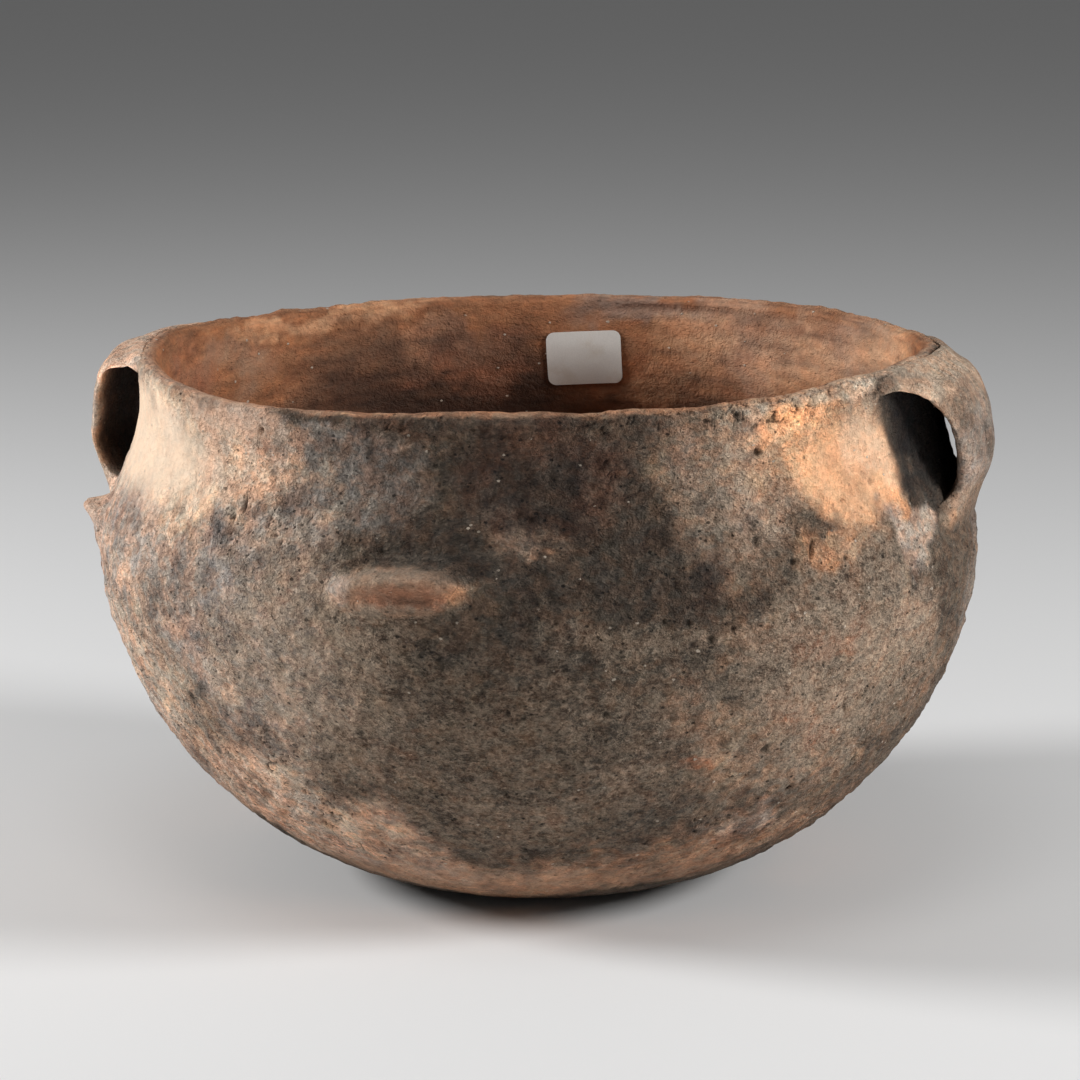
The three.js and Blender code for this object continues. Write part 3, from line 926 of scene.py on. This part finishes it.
# Fire marks on the handles, as on the wall
STRAP_FIRE = [
    ("olive", 0, 100, 70, 40, 0, 0.7),
    ("slate", 0, 101, 40, 10, 0, 0.75),
    ("tan", -14, 116, 26, 7, 0, 0.9),
    ("salmon", -24, 116, 7, 4, 0, 0.6),
    ("tan", -14, 90, 9, 8, 0, 0.6),
    ("ash", -12, 95, 6, 5, 0, 0.4),
    ("orange", -15, 83, 6, 3, 0, 0.8),
    ("brown", 12, 112, 16, 6, 0, 0.7),
    ("cream", -10, 118, 26, 5, 0, 0.35),
    ("smoke", -14, 109.5, 6, 2.5, -20, 0.5),
    ("smoke", -6, 102, 6, 5, 0, 0.7),
    ("tan", 180, 100, 70, 40, 0, 0.9),
    ("salmon", 180, 118, 60, 4.5, 0, 0.9),
    ("slate", 184, 108, 24, 7, 0, 0.7),
    ("ash", -163, 98, 7, 12, 0, 0.6),
]


def smooth_line(knots, share):
    """Points on a smooth curve through knots, at shares of its way."""
    gaps = np.sqrt(np.linalg.norm(np.diff(knots, axis=0), axis=1))
    at = np.concatenate([[0], np.cumsum(gaps)])
    slope = np.gradient(knots, at, axis=0)
    which = np.clip((share * (len(knots) - 1)).astype(int), 0, len(knots) - 2)
    t = (share * (len(knots) - 1) - which)[..., None]
    h = (at[which + 1] - at[which])[..., None]
    a, b = knots[which], knots[which + 1]
    ends = (1 + 2 * t) * (1 - t) ** 2 * a + t**2 * (3 - 2 * t) * b
    return ends + h * (t * (1 - t) ** 2 * slope[which] - t**2 * (1 - t) * slope[which + 1])


def fuller(value, power):
    return np.sign(value) * np.abs(value) ** (2 / power)


def grid_order(bm):
    """Indices of a flat grid's vertices, row by row."""
    flat = np.array([vert.co[:2] for vert in bm.verts]).round(5)
    order = np.lexsort((flat[:, 0], flat[:, 1]))
    return order, flat[order]


def strap_tube(wall, azimuth, thickness, edge, reach, behind, stations, turn, share, end):
    """A handle's skin as a grid: its points and the ways straight off them."""
    mm = wall.mm
    foot, top = mm["belly_height"] + mm["strap_foot_rise"], wall.lip_height - mm["strap_top_drop"]
    knots = []
    for up, off, wide in stations:
        height = lerp(foot, top, up)
        knots.append((wall.radius_at(height) + off * reach, height, wide * mm["strap_width"]))
    knots = np.array(knots)
    centre = smooth_line(knots, share)
    later, earlier = (smooth_line(knots, np.clip(share + step, 0, 1)) for step in (AHEAD, -AHEAD))
    ahead = later - earlier
    run = np.hypot(ahead[..., 0], ahead[..., 1])
    thick = thickness + STRAP_ROOT_SWELL * np.abs(2 * share - 1) ** 3
    edge = lerp(edge, 1.4, smoothstep(0.72, 0.98, share))
    behind = behind * np.sin(np.pi * share)
    across = fuller(np.sin(turn), edge) * (centre[..., 2] / 2 + behind) + behind
    hollow = 0.2 * np.sin(np.pi * share) ** 2 - 0.6 * smoothstep(0.8, 1, share)
    inward = 1 + (np.cos(turn) > 0) * hollow
    through = -fuller(np.cos(turn), edge) * thick / 2 * inward * ~end
    hug = 0.75 * behind * smoothstep(0, 25, across)
    radius = centre[..., 0] - hug + ahead[..., 1] / run * through
    height = centre[..., 1] - ahead[..., 0] / run * through
    at = (azimuth + np.degrees(across / centre[..., 0])).ravel()
    points = turned_out(at, np.stack([radius.ravel(), height.ravel()], 1)).reshape(*share.shape, 3)
    normal = np.cross(np.gradient(points, axis=1), np.gradient(points, axis=0))
    normal[:, 0] = normal[:, -1] = normal[:, 0] + normal[:, -1]
    normal /= np.maximum(np.linalg.norm(normal, axis=2), 1e-9)[..., None]
    core = np.stack([(centre[..., 0] - hug).ravel(), centre[..., 1].ravel()], 1)
    middle = turned_out(at, core).reshape(*share.shape, 3)
    if ((points - middle) * normal).sum() < 0:
        normal = -normal
    return points.reshape(-1, 3), normal.reshape(-1, 3)


def hold_at_lip(moved, wall):
    """Keeps a handle's clay out of the inside of the jar and down to the top of the lip."""
    lip_inside = wall.mm["neck_radius"] - wall.mm["lip_thickness"]
    start, full = lip_inside + CREST[0], lip_inside + CREST[1]
    reached = np.hypot(moved[:, 0], moved[:, 1])
    least = wall.radius_at(np.minimum(moved[:, 2], wall.lip_height)) - STRAP_SUNK
    moved[:, :2] *= (np.maximum(reached, least) / reached)[:, None]
    beyond = smoothstep(start, full, np.maximum(reached, least))
    crest = turned_out(azimuth_of(moved), np.tile([full, wall.lip_height], (len(moved), 1)))
    most = wall.lip_height + lerp(*STRAP_TOP, beyond) + lip_sway(crest)
    below = np.exp((most - moved[:, 2]) / STRAP_TOP_SOFT)
    moved[:, 2] = most - STRAP_TOP_SOFT * np.log1p(below)


def strap_clay(wall, relief, points, azimuth, near, inner_side, rim, worn):
    """Colour of a handle's clay, which runs into the wall's near its roots, with painted shade on its side
    towards the wall and lighter edges, and its dust.
    """
    clay = np.tile(relief.clay["tan"], (len(points), 1))
    clay = relief.paint_over(clay, STRAP_FIRE, *relief.ragged(points, azimuth, points[:, 2]))
    # Painted shade: the strap's side towards the wall and the inner half of its edges are darkened with the
    # ember colour
    painted_wall_side_shade = smoothstep(-0.1, 0.75, inner_side)
    clay = lerp(clay, relief.clay["ember"], 0.8 * painted_wall_side_shade[:, None])
    wall_clay, dust = relief.colours(points, azimuth, points[:, 2], np.zeros(len(points)))
    on_lip = smoothstep(wall.lip_height - 3.5, wall.lip_height - 1.5, points[:, 2])
    clay = lerp(clay, wall_clay, (near**1.5 * (1 - 0.8 * on_lip))[:, None])
    clay = clouded(clay, points, 0.5 * (1 - near), 0.7)
    # Edges lighter by the worn amount: wear, with painted highlight where the edges catch the lamps
    return clay * (1 + worn * rim)[:, None], np.maximum(dust, 0) * near


def strap_mesh(name, wall, relief, azimuth, thickness, edge, reach, behind, worn, stations, seed):
    """One strap handle: a flat sheet rolled into a tube and bent into a loop."""
    bm = sheet(STRAP_AROUND, STRAP_ALONG)
    order, flat = grid_order(bm)
    shape = (STRAP_ALONG + 1, STRAP_AROUND + 1)
    turn = np.pi * flat[:, 0].reshape(shape)
    share = (0.5 + 0.5 * flat[:, 1]).reshape(shape)
    end = np.minimum(share, 1 - share) < STRAP_END
    form = (azimuth, thickness, edge, reach, behind, stations)
    points, normal = strap_tube(wall, *form, turn, share, end)
    inner_side, rim = np.cos(turn.ravel()), np.abs(np.sin(turn.ravel())) ** 6
    off, out = wall.clearance(points)
    near = np.clip(1 - (off + 0.4) / WIPED, 0, 1) * (off > -STRAP_SUNK)
    along_wall = normal - out * (normal * out).sum(1)[:, None]
    under = smoothstep(-0.2, 0.5, inner_side)
    spread = WIPED * 0.55 * near**2.2 * lerp(1, 0.25, under)
    wear = 0.3 * noise(points, 11, seed) + 0.1 * noise(points, 3.4, seed + 1, 2, 0.6)
    chips = rim * 0.25 * np.abs(noise(points, 2.8, seed + 3, 2, 0.6))
    chips += 0.25 * spots(points, 3, 0.3, seed, 0.14, 0.3)
    shift = along_wall * spread[:, None] + normal * (wear - chips - 0.45)[:, None]
    moved = points + shift * ~end.ravel()[:, None]
    hold_at_lip(moved, wall)
    azimuths = azimuth_of(moved)
    clay, dust = strap_clay(wall, relief, points, azimuths, near, inner_side, rim, worn)
    settle_rim(moved, wall)
    back = np.argsort(order)
    store_fields(bm, {
        "fire": clay[back],
        "dust": dust[back],
        "pit": np.clip(chips, 0, 1)[back],
        "coarse": (0.75 + 0.1 * near)[back],
    })
    return formed(name, bm, moved[back], STRAP_WELD)


def store_fields(bm, fields):
    """Stores numbers or colours at a bmesh's vertices, which stay with them as they are joined."""
    kinds = bm.verts.layers
    for key, values in fields.items():
        coloured = values.ndim == 2
        layer = (kinds.float_color if coloured else kinds.float).new(key)
        for vert, value in zip(bm.verts, values):
            vert[layer] = (*value, 1) if coloured else value


# Outlines of the lugs up the wall: millimetres over the crest's line, share of the reach
FRONT_LUG = [
    (8, 0), (5.8, 0.1), (4.2, 0.3), (2.8, 0.6), (1.4, 0.9), (0.4, 1), (-0.5, 0.9), (-1.5, 0.62),
    (-2.6, 0.42), (-3.6, 0.45), (-4.6, 0.36), (-6, 0.12), (-8, 0),
]
LEFT_LUG = [
    (5.5, 0), (3.8, 0.1), (2.2, 0.34), (1.1, 0.68), (0.3, 0.97), (-0.4, 1), (-1.5, 0.72), (-3.2, 0.42),
    (-5.4, 0.3), (-7.2, 0.2), (-9, 0.06), (-11, 0),
]
# Name, CAD node, azimuth, height of the crest, half length, reach, slope of the crest, how far
# the crest is pulled up, how pointed the plan is, outline
LUGS = [
    ("front_bar_lug", "front_lug", -95.8, 83.2, 17.5, 5.6, 0.07, 0.1, 1.15, FRONT_LUG),
    ("left_pointed_lug", "left_lug", -167, 82.4, 13, 5.3, 0.0, 0.12, 1.7, LEFT_LUG),
]
LUG_FIRE = [
    ("brown", -94, 81.8, 15, 3.4, 2, 0.75),
    ("rust", -94, 81.2, 12, 2.2, 2, 0.7),
    # The ember band under the crest: red-brown clay made darker still as painted shade of the lug's
    # underside
    ("ember", -94, 80.8, 7, 1.2, 2, 0.4),
    ("tan", -97, 85.2, 13, 2.2, 4, 0.6),
    ("ash", -104, 83.2, 5, 2.8, 0, 0.8),
    ("orange", -88, 82, 2.6, 2, 0, 0.5),
    ("tan", -95, 78.4, 14, 1.6, 0, 0.7),
    ("salmon", -167, 83, 12, 4, 0, 0.7),
    ("brown", -167, 76, 10, 4, 0, 0.5),
]
LUG_ACROSS = 200
LUG_UP = 90
# How far a lug's edge is sunk in the wall's skin, and how deep its back lies
LUG_ROOT = 0.45
LUG_DEEP = 1.4


def lug_mesh(name, wall, relief, at, crest, half, reach, slope, pull, point, outline):
    """One lug: a slab whose top follows the wall's skin and swells out to the crest."""
    knots = np.array(sorted(outline))
    low, high = knots[0, 0], knots[-1, 0]
    bm, flat, top = slab(LUG_ACROSS, LUG_UP)
    u, up = flat[:, 0], lerp(low, high, 0.5 + 0.5 * flat[:, 1])
    plan = np.clip(1 - np.abs(u) ** 2.2, 0, 1) ** point
    fine = np.linspace(low, high, 241)
    curve = np.interp(fine, knots[:, 0], knots[:, 1])
    soft = np.exp(-((np.arange(-12, 13) / 4.5) ** 2))
    curve = np.convolve(np.pad(curve, 12, "edge"), soft / soft.sum(), "valid")
    curve *= 1 / curve.max()
    swell = reach * plan * np.interp(up, fine, curve)
    height = crest + up * lerp(0.55, 1, plan) + slope * u * half
    azimuth = at + np.degrees(u * half / wall.radius_at(crest))
    along = wall.distance(height)
    points = turned_out(azimuth, wall.outer(along))
    out = turned_out(azimuth, wall.outward(along))
    detail, pits = relief.outside(points, azimuth, height)
    own = 0.16 * noise(points + out * swell[:, None], 2.2, 81, 2, 0.6) * (swell > 0.3)
    edge = np.maximum(np.abs(flat[:, 0]), np.abs(flat[:, 1])) ** 8
    bare = lerp(1, 0.2, smoothstep(0.5, 2, swell))
    rise = relief.wobble(points) + detail * bare + swell + own * smoothstep(0.3, 2, swell) - LUG_ROOT * edge
    rise = np.where(top, rise, relief.wobble(points) - LUG_DEEP)
    moved = points + out * rise[:, None]
    moved[:, 2] += pull * swell * top
    colour, dust = relief.colours(points, azimuth, height, np.zeros(len(points)))
    torn = azimuth + 0.5 * noise(points, 3, 83, 2), height + 0.5 * noise(points, 2.5, 85, 2)
    own_clay = relief.paint_over(colour, LUG_FIRE, *torn)
    colour = lerp(colour, own_clay, smoothstep(0.3, 1.6, swell)[:, None])
    coarse = relief.coarse(azimuth, height) * lerp(1, 0.6, smoothstep(0.5, 3, swell))
    pits = pits * (swell < 1)
    settle_rim(moved, wall)
    made = formed(name, bm, moved)
    write_clay(made.data, colour, dust * (swell < 1), pits, coarse)
    return made


# The label: its place and tilt in degrees, then its corners, gap and thickness in millimetres
LABEL_AZIMUTH = 94.1
LABEL_TILT = -2.5
LABEL_CORNER = 2
LABEL_OFF = 0.22
LABEL_THICK = 0.3
LABEL_ACROSS = 48
LABEL_UP = 34


def rounded(flat, wide, tall, corner):
    """A square grid from -1 to 1 pulled into a rectangle with round corners."""
    ring = np.maximum(np.abs(flat[:, :1]), np.abs(flat[:, 1:2]))
    edge = flat[:, :2] / np.maximum(ring, 1e-6) * (wide / 2, tall / 2)
    limit = np.array([wide / 2 - corner, tall / 2 - corner])
    core = np.clip(edge, -limit, limit)
    way = edge - core
    size = np.maximum(np.linalg.norm(way, axis=1)[:, None], 1e-6)
    return (core + way / size * np.minimum(size, corner)) * ring


def label_mesh(name, wall, relief):
    """The paper label, bent to the inside of the neck."""
    mm = wall.mm
    bm, flat, front = slab(LABEL_ACROSS, LABEL_UP)
    place = rounded(flat, mm["label_width"], mm["label_height"], LABEL_CORNER)
    c, s = math.cos(math.radians(LABEL_TILT)), math.sin(math.radians(LABEL_TILT))
    u, v = place[:, 0] * c - place[:, 1] * s, place[:, 0] * s + place[:, 1] * c
    height = wall.lip_height - mm["label_drop"] + v
    along = np.interp(height, wall.inner_heights, wall.along)
    inner = wall.inner(along)
    azimuth = LABEL_AZIMUTH + np.degrees(u / inner[:, 0])
    points = turned_out(azimuth, inner)
    out = turned_out(azimuth, wall.outward(along))
    away = LABEL_OFF + LABEL_THICK * front + 0.05 * noise(points, 6, 91, 2)
    moved = points + out * (relief.wobble(points) - away)[:, None]
    settle_rim(moved, wall)
    made = formed(name, bm, moved)
    made.data.set_sharp_from_angle(angle=math.radians(40))
    return made


class Wire:
    """A node's output that takes Python arithmetic, one Math node for each operation."""

    def __init__(self, board, socket):
        self.board, self.socket = board, socket

    def math(self, operation, first, second):
        return self.board.node("ShaderNodeMath", {"operation": operation}, {0: first, 1: second})

    def __add__(self, other):
        return self.math("ADD", self, other)

    def __mul__(self, other):
        return self.math("MULTIPLY", self, other)

    def __sub__(self, other):
        return self.math("SUBTRACT", self, other)

    def __rsub__(self, other):
        return self.math("SUBTRACT", other, self)

    __radd__ = __add__
    __rmul__ = __mul__


class Board:
    """The node tree of one material."""

    def __init__(self, name):
        self.material = bpy.data.materials.new(name)
        self.material.use_nodes = True
        self.tree = self.material.node_tree
        self.tree.nodes.clear()

    def node(self, kind, settings=None, sockets=None, output=0):
        made = self.tree.nodes.new(kind)
        for key, value in (settings or {}).items():
            setattr(made, key, value)
        for key, value in (sockets or {}).items():
            if isinstance(value, Wire):
                self.tree.links.new(value.socket, made.inputs[key])
            else:
                made.inputs[key].default_value = value
        return Wire(self, made.outputs[output]) if made.outputs else None

    def mix(self, factor, first, second, blend="MIX"):
        settings = {"data_type": "RGBA", "blend_type": blend}
        return self.node("ShaderNodeMix", settings, {0: factor, 6: first, 7: second}, 2)

    def between(self, value, low, high, to_low=0.0, to_high=1.0):
        """value taken smoothly from low..high to to_low..to_high."""
        sockets = {"Value": value, "From Min": low, "From Max": high, "To Min": to_low, "To Max": to_high}
        return self.node("ShaderNodeMapRange", {"interpolation_type": "SMOOTHSTEP"}, sockets)

    def field(self, name, output="Fac"):
        return self.node("ShaderNodeAttribute", {"attribute_name": name}, output=output)

    def cloud(self, at, millimetres, detail=3.0, roughness=0.6):
        """Noise whose lumps are some millimetres across, as a number around a half."""
        sockets = {"Vector": at, "Scale": 1 / (millimetres * MM), "Detail": detail, "Roughness": roughness}
        return self.node("ShaderNodeTexNoise", None, sockets)

    def shaken(self, at, millimetres, reach):
        """Places moved a little at random, so that round spots turn into uneven ones."""
        sockets = {"Vector": at, "Scale": 1 / (millimetres * MM), "Detail": 1.0}
        shift = self.node("ShaderNodeTexNoise", None, sockets, "Color")
        push = (reach * MM,) * 3
        return self.node("ShaderNodeVectorMath", {"operation": "MULTIPLY_ADD"}, {0: shift, 1: push, 2: at})

    def fold(self, noise):
        """Noise folded at its middle, which leaves sharp creases there."""
        return self.node("ShaderNodeMath", {"operation": "ABSOLUTE"}, {0: noise - 0.5})

    def grains(self, at, millimetres, size, chance):
        """Small round spots in cells some millimetres across: 1 in them, 0 between them."""
        cells = {"Vector": at, "Scale": 1 / (millimetres * MM)}
        away = self.node("ShaderNodeTexVoronoi", None, cells, "Distance")
        picked = self.node("ShaderNodeTexVoronoi", None, cells, "Color")
        draw = self.node("ShaderNodeSeparateColor", None, {"Color": picked}, "Green")
        spot = self.between(away + 0.5 * size * draw, size * 1.25, size * 0.75)
        return spot * self.between(draw, chance + 0.02, chance - 0.02)

    def finish(self, **sockets):
        sockets = {key.replace("_", " "): value for key, value in sockets.items()}
        shader = self.node("ShaderNodeBsdfPrincipled", None, sockets)
        self.node("ShaderNodeOutputMaterial", None, {"Surface": shader})
        return self.material


# Colour of the white grit, and the tints that the clay's hue wanders between
GRIT = (0.6, 0.5, 0.4, 1)
WARM = (1.12, 0.98, 0.9, 1)
COOL = (0.9, 0.98, 1.02, 1)
# The paper: its colour, the colour of its stains, and the height of its fibres in metres
PAPER = (0.74, 0.72, 0.68, 1)
STAIN = (0.66, 0.61, 0.54, 1)
PAPER_RELIEF = 0.00004


def clay_material(name, dust_colour, grit=0.13):
    """Fired clay: its fire marks are at the vertices; the nodes add grain, dust, pits and grit, and paint
    light and shade onto the grain and into the pits.
    """
    board = Board(name)
    place = board.node("ShaderNodeTexCoord", output="Object")
    at = board.node("ShaderNodeVectorMath", {"operation": "MULTIPLY"}, {0: place, 1: (1, 1, 1.35)})
    dust, pit, coarse = (board.field(key) for key in ("dust", "pit", "coarse"))
    cloud = board.cloud(at, 4, 5.0, 0.62)
    hue = board.cloud(at, 3.6, 5.0, 0.62)
    mottle = board.cloud(at, 1.3, 3.0, 0.6)
    sand = board.cloud(at, 0.5, 2.0, 0.6)
    crumb = board.between(board.fold(board.cloud(at, 2.2, 4.0, 0.62)), 0.0, 0.09)
    chipped = board.between(board.cloud(at, 1.5, 4.0, 0.62), 0.34, 0.47)
    rough_here = board.between(board.cloud(at, 14, 3.0, 0.6), 0.35, 0.65, 0.5, 1.1) * coarse
    shaken = board.shaken(at, 0.45, 0.5)
    pits = board.grains(shaken, 2.1, 0.2, 0.22) * coarse
    pores = board.grains(shaken, 0.95, 0.27, 0.36) * coarse
    flecks = board.grains(shaken, 1.15, 0.27, 0.36) * coarse
    specks = board.grains(shaken, 3.1, 0.12, grit) + board.grains(shaken, 7.1, 0.07, 0.2)
    tone = board.field("fire", "Color")
    tinted = board.mix(1.0, tone, board.mix(board.between(hue, 0.4, 0.6), COOL, WARM), "MULTIPLY")
    tone = board.mix(coarse, tone, tinted)
    lying = cloud * 0.5 + mottle * 0.3 + chipped * 0.03 + sand * 0.17 + dust * 0.1
    tone = board.mix(board.between(lying, 0.45, 0.62) * (dust * 0.75 + 0.08), tone, dust_colour)
    # Grain lighter on its crests and darker in its hollows, as the bump stands: the clay's own tone with
    # painted light and shade, flecks lighter as painted highlight, pores and creases darker as painted
    # shade
    worn = board.between(mottle, 0.3, 0.7, 0.82, 1.2) * board.between(sand, 0.3, 0.7, 0.84, 1.16)
    painted_grain_light = flecks * 0.35 - pores * 0.5 + chipped * 0.18 + crumb * 0.22 + 0.86
    rubbed_and_painted_light = worn * painted_grain_light * coarse + (1 - coarse)
    tone = board.mix(1.0, tone, rubbed_and_painted_light, "MULTIPLY")
    tone = board.mix(specks * 0.85, tone, GRIT)
    # Pits, cracks and chips are darkened: painted shade in the recesses
    dark = board.between(pits * 0.8 + pit * 1.2, 0.0, 1.0, 1.0, 0.22)
    tone = board.mix(1.0, tone, dark, "MULTIPLY")
    grain = chipped * 0.3 + crumb * 0.28 + mottle * 1.0 + sand * 0.5 + flecks * 0.2 - pores * 0.3
    relief = grain * (rough_here * 0.94 + 0.06) - pits * 0.5 + specks * 0.2
    normal = board.node("ShaderNodeBump", None, {"Strength": 1.0, "Distance": MM, "Height": relief})
    rough = board.between(coarse, 0.0, 1.0, 0.72, 0.95)
    return board.finish(Base_Color=tone, Roughness=rough, Specular_IOR_Level=0.3, Normal=normal)


def paper_material(name):
    """Plain white paper with a faint fibre and slightly worn, browner clouds."""
    board = Board(name)
    at = board.node("ShaderNodeTexCoord", output="Object")
    fibre = board.cloud(at, 0.3, 4.0, 0.7)
    stain = board.cloud(at, 7, 4.0, 0.6)
    tone = board.mix(board.between(stain, 0.45, 0.75), PAPER, STAIN)
    tone = board.mix(1.0, tone, board.between(fibre, 0.3, 0.7, 0.95, 1.04), "MULTIPLY")
    bump = {"Strength": 1.0, "Distance": PAPER_RELIEF, "Height": fibre}
    normal = board.node("ShaderNodeBump", None, bump)
    return board.finish(Base_Color=tone, Roughness=0.6, Specular_IOR_Level=0.4, Normal=normal)


def paint(piece, material, slot, *nodes):
    """Gives a finished piece its material and body, and hides the CAD parts that it stands for; slot is not
    used.
    """
    piece.data.materials.append(material)
    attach(piece, "root")
    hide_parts(*nodes)


# What the operators share, once it has been made
made_once = {}


def shared(context):
    """The wall, its relief and its clay, which the operators share."""
    if not made_once:
        wall = Wall(context.scene.jar_sizes)
        relief = Relief(wall, context.scene.jar_colours)
        dust = (*relief.clay["dust"], 1)
        made_once["all"] = (wall, relief, clay_material("fired_clay", dust))
    return made_once["all"]


# The rings from the base upwards: name, slot, CAD node
RINGS = [
    ("clay_base_bowl", "base_clay", "base_bowl"),
    ("clay_lower_wall", "wall_clay", "lower_wall_ring"),
    ("clay_belly", "wall_clay", "belly_ring"),
    ("clay_shoulder", "shoulder_clay", "shoulder_ring"),
    ("clay_neck", "shoulder_clay", "neck_ring"),
    ("clay_rim", "rim_clay", "rim_ring"),
]


class JAR_OT_wall(bpy.types.Operator):
    """Builds the base bowl and the five clay rings of the wall"""

    bl_idname = "jar.wall"
    bl_label = "Clay Wall"

    def execute(self, context):
        wall, relief, clay = shared(context)
        for number, (name, slot, node) in enumerate(RINGS):
            paint(ring_mesh(name, wall, relief, number), clay, slot, node)
        return {"FINISHED"}


class JAR_OT_straps(bpy.types.Operator):
    """Builds the two strap handles"""

    bl_idname = "jar.straps"
    bl_label = "Strap Handles"

    def execute(self, context):
        wall, relief, clay = shared(context)
        for name, node, *shape in STRAPS:
            paint(strap_mesh(name, wall, relief, *shape), clay, "handle_clay", node)
        return {"FINISHED"}


class JAR_OT_lugs(bpy.types.Operator):
    """Builds the bar lug at the front and the pointed lug under the left handle"""

    bl_idname = "jar.lugs"
    bl_label = "Lugs"

    def execute(self, context):
        wall, relief, clay = shared(context)
        for name, node, *shape in LUGS:
            paint(lug_mesh(name, wall, relief, *shape), clay, "lug_clay", node)
        return {"FINISHED"}


class JAR_OT_label(bpy.types.Operator):
    """Builds the blank paper label inside the neck"""

    bl_idname = "jar.label"
    bl_label = "Paper Label"

    def execute(self, context):
        wall, relief, _ = shared(context)
        piece = label_mesh("blank_paper_label", wall, relief)
        paint(piece, paper_material("label_paper"), "label_paper", "inventory_label")
        return {"FINISHED"}


# Camera of the photograph: what it looks at, how far off, how far round and up in degrees
CAMERA_TARGET = (0, 0, 0.0748)
CAMERA_AWAY = 0.9
CAMERA_SIDE = 11.5
CAMERA_UP = 11.3
CAMERA_LENS = 131.6
CAMERA_SENSOR = 36

# Lamps: name, place in metres, width and power in watts
LAMPS = [
    ("left_lamp", (-0.95, -0.2, 0.5), 0.34, 9.9),
    ("right_lamp", (0.95, -0.1, 0.5), 0.34, 8.8),
    ("top_lamp", (0, -0.5, 1.3), 0.6, 1.8),
]
ROOM_LIGHT = 0.13
FLOOR_TONE = (0.8, 0.8, 0.8, 1)
FLOOR_RADIUS = 8


class JAR_OT_stage(bpy.types.Operator):
    """Builds the floor, the lamps, the soft room light and the camera"""

    bl_idname = "jar.stage"
    bl_label = "Stage"

    def execute(self, context):
        scene = context.scene
        bm = bmesh.new()
        bmesh.ops.create_circle(bm, cap_ends=True, segments=96, radius=FLOOR_RADIUS)
        floor = to_object("floor", bm)
        floor.data.materials.append(Board("pale_floor").finish(Base_Color=FLOOR_TONE, Roughness=0.8))
        for name, place, size, power in LAMPS:
            lamp = bpy.data.lights.new(name, "AREA")
            lamp.shape, lamp.size, lamp.energy = "DISK", size, power
            made = bpy.data.objects.new(name, lamp)
            made.location = place
            aim = Vector(CAMERA_TARGET) - made.location
            made.rotation_euler = aim.to_track_quat("-Z", "Y").to_euler()
            scene.collection.objects.link(made)
        world = bpy.data.worlds.new("soft_room")
        world.use_nodes = True
        back = world.node_tree.nodes["Background"]
        back.inputs["Color"].default_value = (1, 1, 1, 1)
        back.inputs["Strength"].default_value = ROOM_LIGHT
        scene.world = world
        lens = bpy.data.cameras.new("camera")
        lens.lens, lens.sensor_width = CAMERA_LENS, CAMERA_SENSOR
        lens.clip_start, lens.clip_end = 0.01, 100
        camera = bpy.data.objects.new("camera", lens)
        side, up = math.radians(CAMERA_SIDE), math.radians(CAMERA_UP)
        away = Vector((math.sin(side) * math.cos(up), -math.cos(side) * math.cos(up), math.sin(up)))
        camera.location = Vector(CAMERA_TARGET) + away * CAMERA_AWAY
        camera.rotation_euler = (-away).to_track_quat("-Z", "Y").to_euler()
        scene.collection.objects.link(camera)
        scene.camera = camera
        scene.view_settings.view_transform = "Standard"
        return {"FINISHED"}


STEPS = [JAR_OT_wall, JAR_OT_straps, JAR_OT_lugs, JAR_OT_label, JAR_OT_stage]


class JAR_PT_panel(bpy.types.Panel):
    """Lists the jar's pieces, sizes and colours in the sidebar"""

    bl_label = "Clay Jar"
    bl_idname = "JAR_PT_panel"
    bl_space_type = "VIEW_3D"
    bl_region_type = "UI"
    bl_category = "Clay Jar"

    def draw(self, context):
        for step in STEPS:
            self.layout.operator(step.bl_idname)
        for owner, kind in ((context.scene.jar_sizes, JarSizes), (context.scene.jar_colours, JarColours)):
            for key in kind.__annotations__:
                self.layout.prop(owner, key)


CLASSES = [JarSizes, JarColours, *STEPS, JAR_PT_panel]


def register():
    for made in CLASSES:
        bpy.utils.register_class(made)
    bpy.types.Scene.jar_sizes = bpy.props.PointerProperty(type=JarSizes)
    bpy.types.Scene.jar_colours = bpy.props.PointerProperty(type=JarColours)


def unregister():
    del bpy.types.Scene.jar_sizes
    del bpy.types.Scene.jar_colours
    for made in reversed(CLASSES):
        bpy.utils.unregister_class(made)


def main():
    register()
    bpy.ops.jar.wall()
    bpy.ops.jar.straps()
    bpy.ops.jar.lugs()
    bpy.ops.jar.label()
    bpy.ops.jar.stage()


if __name__ == "__main__":
    main()
